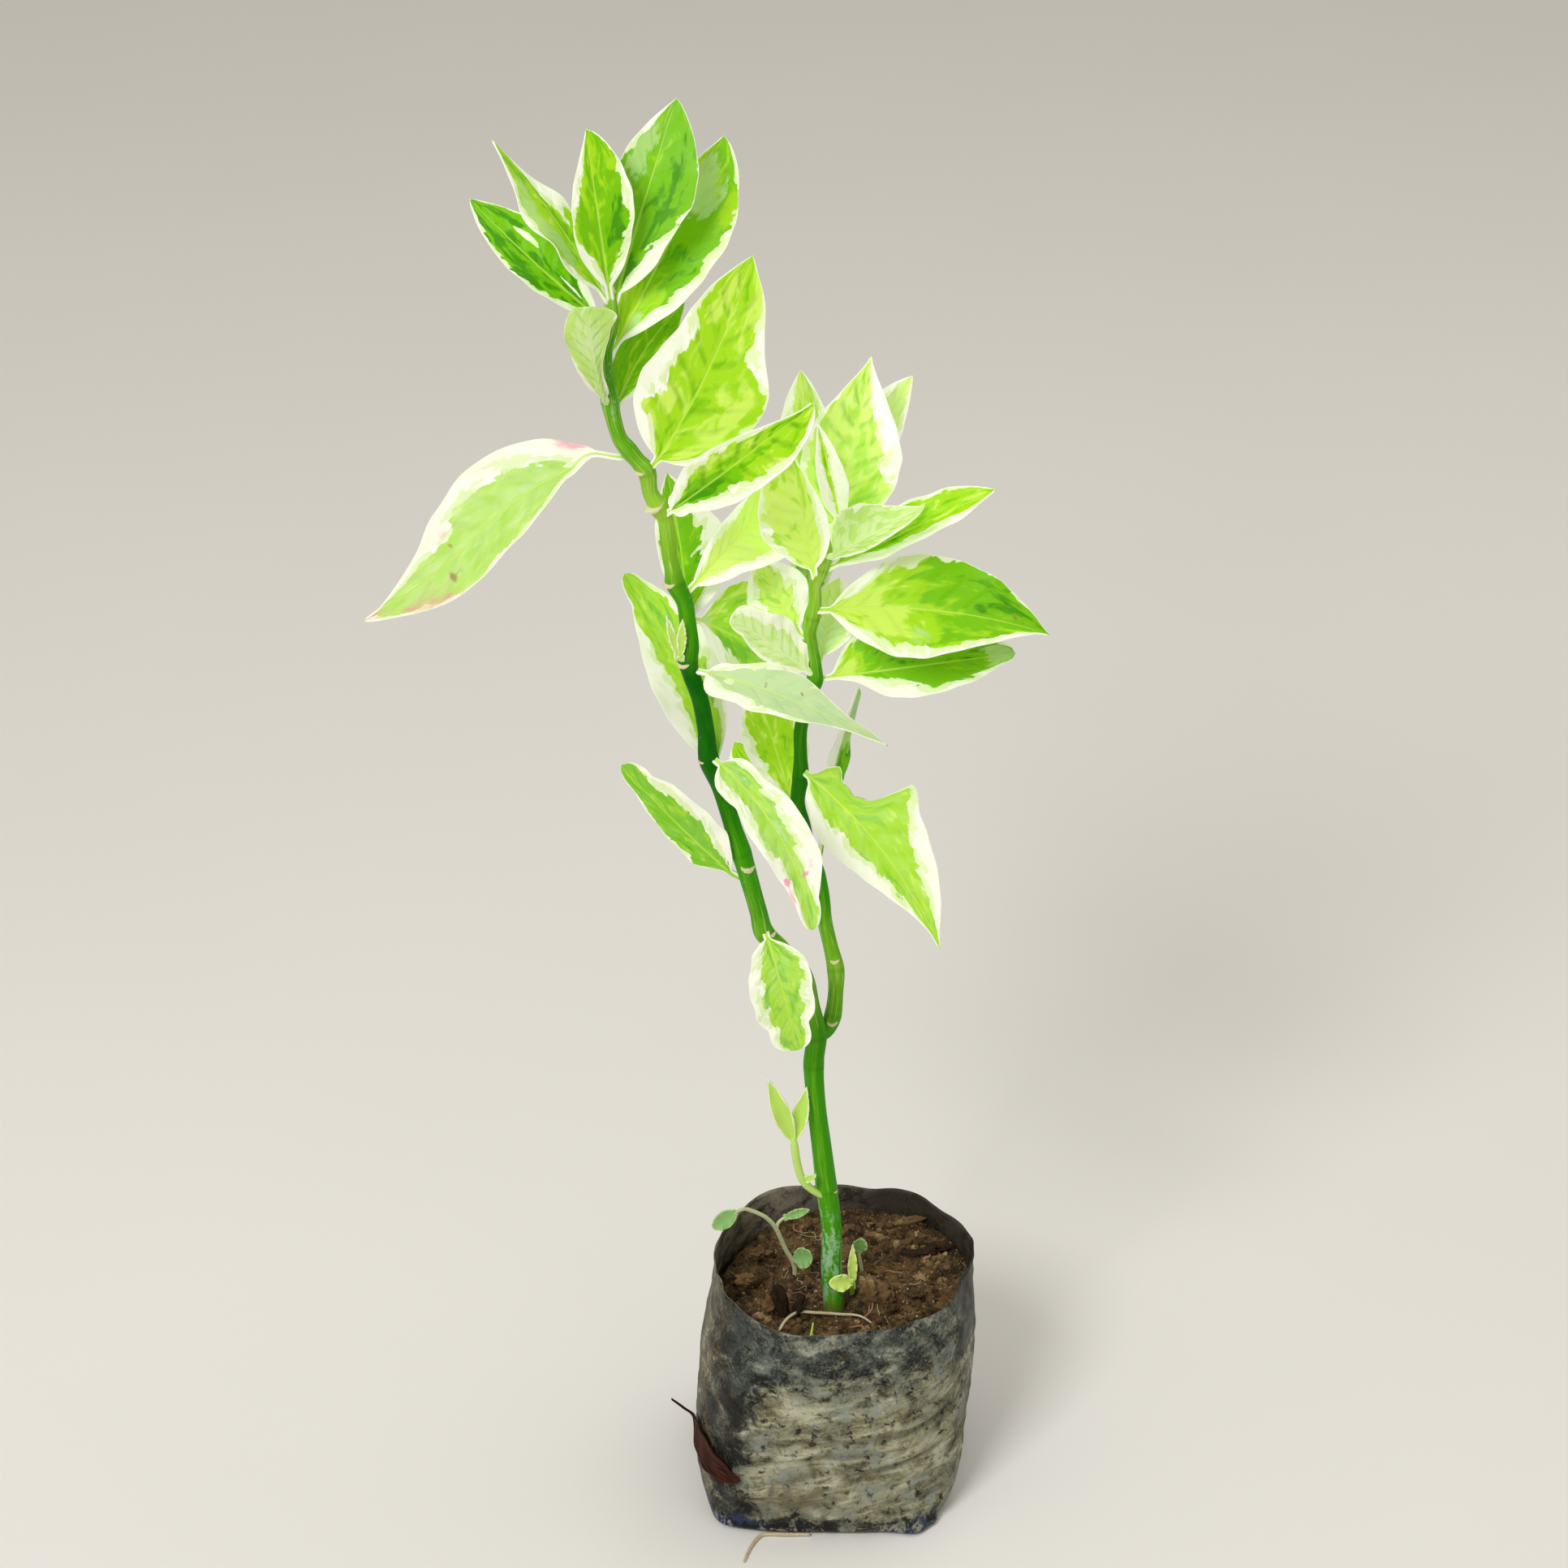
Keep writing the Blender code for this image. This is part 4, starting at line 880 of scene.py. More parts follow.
def tube(rows, sides, swell=None):
    """Points, faces, turn and distance along a closed tube through x, y, z, radius."""
    rows = np.asarray(rows, float)
    centres, radii = rows[:, :3], rows[:, 3]
    tangents = unit_rows(np.gradient(centres, axis=0))
    steps = np.linalg.norm(np.diff(centres, axis=0), axis=1)
    distance = np.concatenate([[0], np.cumsum(steps)])
    hand = unit(np.cross(tangents[0], (0.0, 1.0, 0.1)))
    points, turns, lengths = [], [], []
    for row, (centre, tangent, radius) in enumerate(zip(centres, tangents, radii)):
        hand = unit(hand - tangent * (hand @ tangent))
        other = np.cross(tangent, hand)
        for step in range(sides):
            turn = 2 * math.pi * step / sides
            size = radius if swell is None else radius * swell(turn, distance[row])
            points.append(centre + size * (hand * math.cos(turn) + other * math.sin(turn)))
            turns.append(turn)
            lengths.append(distance[row])
    top = (len(centres) - 1) * sides
    faces = ring_faces(len(centres), sides)
    faces += [tuple(range(sides - 1, -1, -1)), tuple(range(top, top + sides))]
    return np.array(points), faces, np.array(turns), np.array(lengths)


print("stem is", round(tube(MAIN_STEM, 3)[3][-1]), "mm long")

# %% [markdown]
# The skin of the stem is waxy. Its green changes with the height above the soil, which
# a table of tones gives, and fine streaks run lengthwise. They come from noise that is
# drawn out along the stem, so they follow its bends.

# %% Stem finish
STEM_DEEP = tint(0, 88, 0)
STEM_GREEN = tint(60, 148, 0)
STEM_PALE = tint(156, 204, 56)
STEM_BLOOM = tint(168, 204, 168)
STEM_FOOT = tint(108, 66, 58)
SCAR = tint(236, 220, 188)
# Heights in millimetres: middle of the lower and the upper bloom, and top of the foot
LOW_BLOOM, HIGH_BLOOM, FOOT_TOP = 108.0, 464.0, 88.0
# How pale the stem is at a height: 0 deep green, 0.5 green, 1 pale
MAIN_TONES = (
    (60, 0.5), (110, 0.5), (135, 0.56), (160, 0.5), (189, 0.46), (202, 0.5), (216, 0.66),
    (240, 0.7), (256, 0.6), (285, 0.42), (300, 0.24), (323, 0.12), (355, 0.1), (363, 0.28),
    (375, 0.44), (388, 0.56), (396, 0.74), (420, 0.86), (430, 0.76), (440, 0.66),
    (480, 0.6), (496, 0.8),
)
RIGHT_TONES = (
    (197, 0.46), (208, 0.64), (226, 0.72), (240, 0.64), (258, 0.46), (268, 0.24), (299, 0.18),
    (308, 0.24), (330, 0.36), (337, 0.5), (345, 0.62), (362, 0.76), (376, 0.86), (395, 0.9),
)


def stem_finish():
    """Waxy stem with fine lengthwise streaks and a grey bloom near the soil."""
    f = Finish("stem_green", 0.36, Specular_IOR_Level=0.08)
    height, tone = f.field("height"), f.field("tone")
    turn_x, turn_y = f.field("turn_x"), f.field("turn_y")
    length = f.field("length")
    streak = f.cloud(f.vector(turn_x * 4.0, turn_y * 4.0, length * 0.045), 1.0, 4.0, 0.7)
    blotch = f.cloud(f.vector(turn_x * 1.2, turn_y * 1.2, length * 0.1), 1.0, 3.0, 0.6)
    grain = f.cloud(f.place(), 900.0, 4.0, 0.7)
    level = tone + (blotch - 0.5) * 0.24 + (streak - 0.5) * 0.14
    colour = f.mix(level.ramp(0.0, 0.5), STEM_DEEP, STEM_GREEN)
    colour = f.mix(level.ramp(0.5, 0.95), colour, STEM_PALE)
    lines = streak.ramp(0.54, 0.64) * tone.ramp(0.4, 0.75)
    colour = f.mix(lines * 0.6, colour, PALE_GREEN)
    # A lighter strip along the front of each branch is a painted highlight.
    sheen = (turn_y * 0.9 + turn_x * 0.2 + (streak - 0.5) * 0.9).ramp(0.72, 1.1)
    colour = f.mix(sheen * tone.ramp(0.1, 0.5) * 0.3, colour, STEM_PALE)
    low = 1 - (height - LOW_BLOOM).maths("ABSOLUTE").ramp(4.0, 34.0)
    high = 1 - (height - HIGH_BLOOM).maths("ABSOLUTE").ramp(6.0, 22.0)
    frost = (low + high * 0.8 + turn_x * 0.25) * (blotch * 0.6 + grain * 0.4).ramp(0.44, 0.58)
    colour = f.mix(frost.ramp(0.2, 0.9) * 0.75, colour, STEM_BLOOM)
    foot = 1 - (height + (blotch - 0.5) * 14.0).ramp(FOOT_TOP - 6.0, FOOT_TOP)
    colour = f.mix(foot * 0.6, colour, STEM_FOOT)
    colour = f.mix(f.field("ring") * 0.22, colour, STEM_DEEP)
    flecks = 1 - f.cells(f.place(), 520.0).ramp(0.08, 0.15)
    few = f.cloud(f.place(), 60.0).ramp(0.6, 0.66)
    colour = f.mix(flecks * few * 0.4, colour, CREAM)
    torn = (f.field("scar") + (grain - 0.5) * 0.5).ramp(0.35, 0.6)
    colour = f.mix(torn * 0.85, colour, SCAR)
    relief = streak * 0.5 + grain * 0.25 - f.field("ring") * 0.35 + torn * 0.5
    # The stem gives off a faint painted glow of its own colour.
    return f.finish(colour, f.bump(relief, 0.35, 0.0006), roughness=0.26 + blotch * 0.25,
                    light=colour, glow=0.05)


stem_paint = stem_finish()
print("stem finish has", len(stem_paint.node_tree.nodes), "nodes")

# %% [markdown]
# Old leaves have left a ring and a pale half moon scar at their nodes. Both are fields
# that the finish colours, and the scars also push the skin outward a little.

# %% Build the stem
# Leaf scars as height, turn in degrees from the front toward the right, and size
MAIN_SCARS = ((250, 60, 1.2), (279.5, 22, 1.5), (323, -60, 1.1), (359.5, -42, 1.4),
              (389, -62, 1.5), (418, -84, 2.0), (432, -70, 1.4), (135, 60, 1.0),
              (189, 150, 1.4), (285, 165, 1.5), (202, -100, 1.2))
RIGHT_SCARS = ((228, 5, 1.1), (206, 5, 1.2), (261, 170, 1.2), (362, 95, 1.0))
# Points round a branch, and rings of points between two rows of its line
STEM_SIDES = 28
STEM_STEPS = 20
# How much a node swells, over how many millimetres, and how far ribs stand out
NODE_SWELL, NODE_REACH = 0.04, 3.0
RIBS, RIB_RISE = 5, 0.012
# Half height of the dark ring at a node
RING_REACH = 0.8
# Half sizes of a scar and how far it stands out, for each millimetre of its size
SCAR_SPREAD = np.array([2.0, 2.0, 0.62])
SCAR_RISE = 0.55
# Millimetres of stem on the full height of its flat map
STEM_MAP = 520


def ring_share(heights, nodes):
    """1 at a node's ring and 0 away from it."""
    return np.max([bell(heights - node, RING_REACH) for node in nodes], axis=0)


def scar_share(points, rows, scars):
    """Size of a leaf scar at points on it, and 0 away from it."""
    share = np.zeros(len(points))
    for height, degrees, size in scars:
        centre = rows[np.argmin(np.abs(rows[:, 2] - height))]
        turn = math.radians(degrees - 90)
        spot = centre[:3] + centre[3] * np.array([math.cos(turn), math.sin(turn), 0])
        drop = 0.25 * size * ((points[:, 0] - spot[0]) / size) ** 2
        gap = (points - spot - drop[:, None] * (0, 0, 1)) / (size * SCAR_SPREAD)
        share = np.maximum(share, np.exp(-(gap ** 2).sum(axis=1)) * size)
    return share


def ribs(turn, distance):
    """Ribs that wind slowly round the stem, as a factor near 1."""
    return 1 + RIB_RISE * math.sin(RIBS * turn + distance * 0.05)


def add_branch(name, rows, nodes, tones, scars, solids):
    """One branch as a fine tube that swells at its nodes, with rings and scars."""
    fine = spline(rows, STEM_STEPS)
    swollen = fine.copy()
    for node in nodes:
        swollen[:, 3] *= 1 + NODE_SWELL * bell(fine[:, 2] - node, NODE_REACH)
    points, faces, turns, lengths = tube(swollen, STEM_SIDES, ribs)
    scar = scar_share(points, fine, scars)
    outward = unit_rows(points - np.repeat(fine[:, :3], STEM_SIDES, axis=0))
    points = points + outward * scar[:, None] ** 2 * SCAR_RISE
    levels = np.repeat(fine[:, 2], STEM_SIDES)
    tone = np.interp(levels, *np.array(tones).T)
    fields = {"height": points[:, 2], "turn_x": np.cos(turns), "turn_y": np.sin(turns),
              "length": lengths, "ring": ring_share(levels, nodes), "tone": tone,
              "scar": np.clip(scar, 0, 1)}
    uv = np.stack([turns / 7, lengths / STEM_MAP], axis=1)
    return new_piece(name, points, faces, stem_paint, solids, fields, uv)


main_stem = add_branch("main_stem_skin", MAIN_STEM, MAIN_NODES, MAIN_TONES, MAIN_SCARS, ["stem"])
right_branch = add_branch("right_branch_skin", RIGHT_BRANCH, RIGHT_NODES, RIGHT_TONES,
                          RIGHT_SCARS, [])
print("stem has", len(main_stem.data.polygons) + len(right_branch.data.polygons), "faces")

# %% [markdown]
# Each leaf stalk has to grow out of the stem. Moving whole leaves would spoil their
# places, so only the first part of every midrib is bent toward the nearest point of a
# branch, and no stalk ends in the air.

# %% Join the leaves to the stem
STEM_LINE = np.vstack([spline(MAIN_STEM, 8), spline(RIGHT_BRANCH, 8)])


def toward_stem(base):
    """Shift that brings a leaf base into the nearest branch."""
    gaps = STEM_LINE[:, :3] - np.array(base, float)
    distances = np.linalg.norm(gaps, axis=1)
    nearest = np.argmin(distances)
    spare = distances[nearest] - 0.5 * STEM_LINE[nearest, 3]
    if spare < 0:
        return 0.0
    return gaps[nearest] * spare / distances[nearest]


all_leaves = LEFT_LEAVES + TOP_LEAVES + RIGHT_LEAVES
for item in all_leaves:
    joint = np.array(item["looks"].get("joint", (0, 0, 0)))
    item["toward_stem"] = toward_stem(item["base"]) + joint
leaf_pieces = [add_leaf(item, number) for number, item in enumerate(all_leaves)]
print(len(leaf_pieces), "leaves,", sum(len(p.data.polygons) for p in leaf_pieces), "faces")

# %% [markdown]
# The pot is a soft bag of thin black plastic film. It bulges over its filling, its
# square bottom is folded in, and its cut rim waves. Cloth could be inflated in its
# place, but the creases would fall anywhere. So the wall is lofted through rings, as a
# closed skin with an outer and an inner face, and its dents and creases are moved
# points, which show from every side.

# %% Bag form
BAG_HEIGHT = 93.0
BAG_WALL = 0.5
# Rings as height, middle x and y, half sizes in x and y, and how square they are
BAG_RINGS = [
    (0.0, 0.5, -1.5, 45.0, 47.0, 4.2), (2.0, 0.5, -1.5, 47.5, 49.5, 4.0),
    (8.0, 1.0, -1.0, 50.0, 51.0, 3.6), (20.0, 2.0, -0.5, 51.8, 51.5, 3.1),
    (40.0, 3.5, 0.0, 52.3, 52.0, 2.7), (60.0, 5.0, 0.0, 52.0, 51.5, 2.4),
    (78.0, 6.3, 0.0, 51.0, 50.5, 2.2),
]
# The rim: its middle, its radii at even steps round the bag and its rise and fall
RIM_X, RIM_Y = 7.0, 0.0
RIM_RADII = [
    50.0, 52.0, 51.0, 50.5, 53.0, 49.0, 48.0, 50.0, 53.0, 52.0, 50.0, 49.5,
    50.0, 49.0, 50.5, 53.0, 54.0, 52.5, 50.0, 48.5, 48.0, 48.5, 47.5, 46.5,
]
RIM_HEIGHTS = [0.5, 0.0, -1.0, 0.5, 0.0, 1.0, 0.0, -0.5, 0.5, 1.0, 0.0, -0.5]
# Millimetres of film in one degree round the bag
FILM_PER_DEGREE = 0.89
# Creases as start angle and height, end angle and height, depth and width
CREASES = [
    (-104, 43, -28, 52, 1.3, 1.5), (-99, 37, -58, 41, 0.7, 1.2), (-95, 29, -40, 37, 0.9, 1.5),
    (-90, 21, -36, 26, 0.6, 1.4), (-80, 11, -35, 17, 0.5, 1.2), (-117, 70, -115, 10, 1.6, 2.6),
    (-150, 60, -122, 50, 0.6, 1.5), (-60, 64, -20, 60, 0.5, 1.4), (-35, 80, -28, 20, 0.7, 2.2),
    (20, 50, 70, 42, 0.8, 1.4), (60, 30, 120, 34, 0.8, 1.5), (95, 75, 100, 15, 1.1, 2.4),
    (150, 52, 200, 44, 0.8, 1.4), (170, 24, 215, 30, 0.7, 1.3), (-12, 34, 20, 26, 0.6, 1.3),
]
# Bottom corners that are folded over: angle, spread, height and how far they stand out
CORNER_FOLDS = [
    (-55, 7, 9, 4.2), (-46, 3, 6, 2.0), (-133, 7, 8, 2.4), (48, 7, 8, 2.5), (136, 7, 8, 2.5),
]


def rough(points, size, seed=0.0):
    """Natural unevenness between -1 and 1 at each point, with lumps of about this size."""
    shift = Vector((seed, seed * 1.7, 0))
    return np.array([noise.noise(Vector(point) / size + shift) for point in points])


def half_turned(degrees):
    """The same angles, between -180 and 180 degrees."""
    return (degrees + 180) % 360 - 180


def around(values, degrees):
    """Values set at even steps round the bag, smoothly read at an angle."""
    values = np.array(values, float)
    count = len(values)
    place = np.asarray(degrees) / 360 * count
    first = np.floor(place).astype(int)
    t = place - first
    return between(*(values[(first + step) % count] for step in (-1, 0, 1, 2)), t)


def bag_outline(degrees, height):
    """Centre and radius of the plain bag at an angle and height."""
    turn = np.radians(degrees)
    heights = [ring[0] for ring in BAG_RINGS] + [BAG_HEIGHT]
    centre_x = np.interp(height, heights, [ring[1] for ring in BAG_RINGS] + [RIM_X])
    centre_y = np.interp(height, heights, [ring[2] for ring in BAG_RINGS] + [RIM_Y])
    radii = []
    for _, _, _, half_x, half_y, power in BAG_RINGS:
        share = np.abs(np.cos(turn) / half_x) ** power + np.abs(np.sin(turn) / half_y) ** power
        radii.append(share ** (-1 / power))
    radii.append(around(RIM_RADII, degrees))
    radius = radii[0] + 0.0 * height
    for low, high, inner, outer in zip(heights, heights[1:], radii, radii[1:]):
        radius = radius + (outer - inner) * np.clip((height - low) / (high - low), 0, 1)
    return centre_x, centre_y, radius


def crease_push(degrees, height, creases=CREASES):
    """How far the film is pushed in at points by creases."""
    push = np.zeros(len(degrees))
    for angle, low, end_angle, high, depth, width in creases:
        run, rise = (end_angle - angle) * FILM_PER_DEGREE, high - low
        x = half_turned(degrees - angle) * FILM_PER_DEGREE
        y = height - low
        share = np.clip((x * run + y * rise) / (run ** 2 + rise ** 2), 0, 1)
        gap = np.hypot(x - share * run, y - share * rise)
        side = np.tanh((run * y - rise * x) / math.hypot(run, rise) / 0.5)
        fade = np.sin(math.pi * (0.12 + 0.76 * share))
        push += depth * fade * bell(gap, width)
        push -= 0.35 * depth * fade * side * bell(gap / width, 2.5)
    return push


def corner_push(degrees, height):
    """How far the folded bottom corners stand out."""
    push = np.zeros(len(degrees))
    for middle, spread, top, size in CORNER_FOLDS:
        share = bell(half_turned(degrees - middle), spread)
        push += size * share * (1 - smooth_step(1, top, height))
    return push


def bag_points(degrees, height, inset):
    """Points of the bag wall, moved inward by inset."""
    centre_x, centre_y, radius = bag_outline(degrees, height)
    turn = np.radians(degrees)
    ring = np.stack([np.cos(turn) * 50, np.sin(turn) * 50, height * 0.7], axis=1)
    slack = rough(ring, 23.0) * 1.7 + rough(ring * (1, 1, 2.4), 8.0, 3.0) * 0.7
    push = (slack + 0.3) * smooth_step(0, 10, height)
    push = push + crease_push(degrees, height) * smooth_step(0, 5, height)
    radius = radius - np.maximum(push, -0.6) + corner_push(degrees, height) - inset
    return centre_x + radius * np.cos(turn), centre_y + radius * np.sin(turn)


def rim_level(degrees):
    """Height of the cut rim at an angle."""
    turn = np.radians(degrees)
    ripple = 0.35 * np.sin(turn * 7) + 0.2 * np.sin(turn * 17)
    return BAG_HEIGHT + around(RIM_HEIGHTS, degrees) + ripple


print("bag has", len(CREASES), "creases and stands", BAG_HEIGHT, "mm high")

# %% [markdown]
# The film is black, but little of it is bare. Mud has dried on the front in pale wiped
# smears, dust lies on the left and inside, and bare film at the bottom corners gets a
# painted bluish reflection. Each is a mask of noise, and the smears are stretched the way
# the mud was wiped. Fields on the points say where each may lie. Creases get painted
# shade in their hollows and a painted highlight on their tops, and the inner face gets
# painted shade toward the right.

# %% Bag finish
FILM = tint(46, 48, 44)
FILM_DEEP = tint(17, 18, 20)
FILM_DUSTY = tint(92, 78, 44)
FILM_BLUE_REFLECTION = tint(40, 54, 92)
FILM_TEAL = tint(82, 92, 86)
MUD = tint(188, 184, 148)
MUD_DARK = tint(134, 130, 100)
MUD_GREY = tint(134, 144, 142)
# Pale mud, which also serves as the painted highlight on crease tops
MUD_AND_HIGHLIGHT_PALE = tint(202, 202, 180)
MUD_BROWN = tint(92, 72, 48)
HOLE_BROWN = tint(52, 34, 22)
INNER_DUST = tint(150, 142, 126)
INNER_DARK = tint(62, 58, 52)
INNER_SHADE = tint(40, 34, 28)


def mud_coat(f, wipe, smear, blot, grain):
    """Dried mud in four shades."""
    coat = f.mix((wipe + (blot - 0.5) * 0.5).ramp(0.32, 0.62), MUD_DARK, MUD)
    coat = f.mix((blot + (grain - 0.5) * 0.5).ramp(0.44, 0.68) * 0.85, coat, MUD_GREY)
    pale = (smear + wipe * 0.6 + (grain - 0.5) * 0.3).ramp(0.84, 1.0)
    return f.mix(pale * 0.65, coat, MUD_AND_HIGHLIGHT_PALE)


def bare_film(f, smear, blot, spot, grain):
    """Black film that is dusty on the left and bluish green high on the front."""
    dusty = f.field("dusty")
    film = f.mix(blot.ramp(0.35, 0.65), FILM_DEEP, FILM)
    dust = (grain + (smear - 0.5) * 1.2 + (spot - 0.5) * 0.8 + dusty * 0.2).ramp(0.5, 0.95)
    film = f.mix(dust * (0.5 + dusty * 0.4), film, FILM_DUSTY)
    upper = (f.field("height") + (blot - 0.5) * 40.0).ramp(50.0, 70.0)
    upper = upper * f.field("turn_y").ramp(0.3, 0.7) * (1 - dusty)
    return f.mix(upper * (blot * 0.5 + grain * 0.5).ramp(0.4, 0.6) * 0.8, film, FILM_TEAL)


def film_marks(f, colour, blot, grain):
    """Painted shade and highlight along creases, a brown stain and a torn hole over the mud."""
    crease_jitter = (grain - 0.5) * 0.4
    # Painted shade in crease hollows and a painted highlight on crease tops.
    colour = f.mix((f.field("crease_valley_shade") + crease_jitter).ramp(0.2, 0.9) * 0.35, colour, FILM_DEEP)
    colour = f.mix((f.field("crease_ridge_highlight") + crease_jitter).ramp(0.25, 0.9) * 0.35, colour, MUD_AND_HIGHLIGHT_PALE)
    stain = (f.field("stain") + (blot - 0.5) * 2.2 + (grain - 0.5) * 0.8).ramp(0.4, 1.1)
    colour = f.mix(stain * 0.7, colour, MUD_BROWN)
    torn = (f.field("torn") + (grain - 0.5) * 0.6).ramp(0.35, 0.5)
    return f.mix(torn * 0.8, colour, HOLE_BROWN)


def film_foot(f, turn_x, blot, spot, grain):
    """Bare film at the bottom, with a painted bluish reflection at the corners."""
    corner = turn_x.maths("ABSOLUTE").ramp(0.35, 0.6)
    # Blue at the corners is a painted reflection on the glossy film.
    low = f.mix(spot.ramp(0.44, 0.56) * corner, FILM_DEEP, FILM_BLUE_REFLECTION)
    return f.mix((blot + grain * 0.4).ramp(0.68, 0.8) * 0.5, low, MUD_AND_HIGHLIGHT_PALE)


def film_inside(f, turn_x, blot, grain):
    """Dusty inner face with painted shade toward the right."""
    inner = f.mix((blot * 0.7 + grain * 0.3).ramp(0.38, 0.6), INNER_DARK, INNER_DUST)
    # Toward the right the inner face gets painted shade.
    return f.mix((turn_x + (blot - 0.5) * 1.5).ramp(-0.5, 0.7) * 0.85, inner, INNER_SHADE)


def bag_finish():
    """Black film with smears of dry mud on its front and blots of bare film."""
    f = Finish("bag_film", 0.5, Specular_IOR_Level=0.2)
    turn_x, turn_y, height = f.field("turn_x"), f.field("turn_y"), f.field("height")
    rise = height - turn_x * 11.5
    wipe = f.cloud(f.vector(turn_x * 2.3, turn_y * 2.3, rise * 0.2), 1.0, 4.0, 0.62, 0.9)
    streaks = f.vector(turn_x * 2.9, turn_y * 2.9, height * 0.075 + 4.0)
    smear = f.cloud(streaks, 1.0, 5.0, 0.68, 1.0)
    blot = f.cloud(f.place(), 95.0, 4.0, 0.68, 0.8)
    spot = f.cloud(f.place(), 240.0, 2.0, 0.6, 0.5)
    grain = f.cloud(f.place(), 900.0, 4.0, 0.7)
    speckle = f.cloud(f.place(), 430.0, 3.0, 0.7)
    mud = f.field("mud") + (smear - 0.5) * 1.3 + (blot - 0.5) * 1.3 + (wipe - 0.5) * 0.4
    mud = mud + (grain - 0.5) * 0.7 - spot.ramp(0.58, 0.7) * 0.45
    share = mud.ramp(0.05, 0.85)
    bare = speckle.ramp(0.56, 0.7) * 0.6 * blot.ramp(0.35, 0.55)
    film = bare_film(f, smear, blot, spot, grain)
    colour = f.mix(share * (1 - bare) * 0.9, film, mud_coat(f, wipe, smear, blot, grain))
    colour = film_marks(f, colour, blot, grain)
    foot = 1 - (height + (blot - 0.5) * 24.0).ramp(4.0, 8.0)
    colour = f.mix(foot * 0.85, colour, film_foot(f, turn_x, blot, spot, grain))
    colour = f.mix(f.field("inside"), colour, film_inside(f, turn_x, blot, grain))
    fine = f.cloud(f.vector(turn_x * 17.0, turn_y * 17.0, rise * 0.35 + 9.0), 1.0, 3.0, 0.6, 1.5)
    relief = wipe * 0.3 + grain * 0.4 + share * 0.4
    normal = f.bump(relief * 0.3 + fine * 0.7, 0.35, 0.0008)
    return f.finish(colour, normal, roughness=0.46 + share * 0.35 - foot * 0.2)


bag_paint = bag_finish()
print("bag finish has", len(bag_paint.node_tree.nodes), "nodes")

# %% [markdown]
# The bag is built ring by ring: up the outer face, over the rim and down the inner face,
# with a fan of triangles for each side of its bottom. The rings are closer together low
# down, where the film folds in sharply.

# %% Build the bag
BAG_SECTORS = 240
WALL_ROWS = 74
# Middle of the bottom, and heights of its outer and its inner face there
BOTTOM_X, BOTTOM_Y = 0.5, -1.0
BOTTOM_HEIGHTS = (0.4, 1.4)
# Front creases that get painted shade in their hollows and a painted highlight on their tops
SHARP_CREASES = CREASES[:5]
# Turn from the front and height of the brown stain and of the hole
STAIN_TURN, STAIN_HEIGHT = -16, 18
HOLE_TURN, HOLE_HEIGHT = -10, 44


def mud_share(turn, height):
    """How much mud covers the outside at a turn from the front and a height."""
    waver = rough(np.stack([turn, height, 0 * turn], axis=1), 17.0, 4.0)
    turn = turn + 9 * waver
    front = smooth_step(-46, -26, turn) * (1 - smooth_step(38, 100, turn))
    lower = 0.35 * (1 - smooth_step(3, 14, height))
    upper = 0.46 * smooth_step(56, 84, height)
    left = 0.14 * smooth_step(-110, -80, turn) * (1 - smooth_step(-62, -48, turn))
    return 0.04 + 0.6 * front + left - (lower + upper) * front


def bag_looks(degrees, height, inside, turn):
    """Fields that say where the film is muddy, dusty, stained or torn, and where creases get
    painted shade and highlight.
    """
    push = crease_push(degrees, height, SHARP_CREASES)
    sides = 1 - smooth_step(-66, -44, turn)
    hole = bell((turn - HOLE_TURN) * FILM_PER_DEGREE, 1.8) * bell(height - HOLE_HEIGHT, 1.3)
    return {
        "height": height, "inside": inside, "mud": mud_share(turn, height),
        "turn_x": np.sin(np.radians(turn)), "turn_y": np.cos(np.radians(turn)),
        "dusty": sides * smooth_step(-176, -130, turn),
        "stain": bell(turn - STAIN_TURN, 17) * bell(height - STAIN_HEIGHT, 8),
        "crease_valley_shade": np.clip(push, 0, 1), "crease_ridge_highlight": np.clip(-push * 3, 0, 1),
        "torn": hole * (1 - inside),
    }


def add_bag():
    """The film: outer face, rim, inner face and bottom."""
    degrees = np.arange(BAG_SECTORS) * 360 / BAG_SECTORS
    steps = np.linspace(0, 1, WALL_ROWS)
    steps = 0.25 * steps ** 2 + 0.75 * steps
    rings, looks = [], []
    for face, order in ((0, steps), (1, steps[:0:-1])):
        for step in order:
            height = step * rim_level(degrees)
            x, y = bag_points(degrees, height, BAG_WALL * face)
            rings.append(np.stack([x, y, height + 0.4 * (step == 0)], axis=1))
            looks.append(np.stack([degrees, height, np.full(BAG_SECTORS, face)], axis=1))
    points = [*np.concatenate(rings), (BOTTOM_X, BOTTOM_Y, BOTTOM_HEIGHTS[0]),
              (BOTTOM_X, BOTTOM_Y, BOTTOM_HEIGHTS[1])]
    looks = np.array([*np.concatenate(looks), (0, 0, 0), (0, 0, 1)], float)
    faces = ring_faces(len(rings), BAG_SECTORS)
    bottom, inner = len(points) - 2, len(points) - 1
    top = (len(rings) - 1) * BAG_SECTORS
    for sector in range(BAG_SECTORS):
        after = (sector + 1) % BAG_SECTORS
        faces += [(bottom, after, sector), (inner, top + sector, top + after)]
    turn = half_turned(looks[:, 0] + 90)
    uv = np.stack([0.5 + turn / 380, looks[:, 1] / 210 + 0.5 * looks[:, 2]], axis=1)
    return new_piece("bag_skin", points, faces, bag_paint, ["grow_bag"],
                     bag_looks(*looks.T, turn), uv)


bag_piece = add_bag()
print("bag has", len(bag_piece.data.polygons), "faces")

# %% [markdown]
# The filling is dark garden soil with crumbs, bark chips, twigs and fine roots. A bump
# in the material alone would look flat from the side. So the ground is a displaced disc,
# and the crumbs on it are small uneven stones of many sizes.

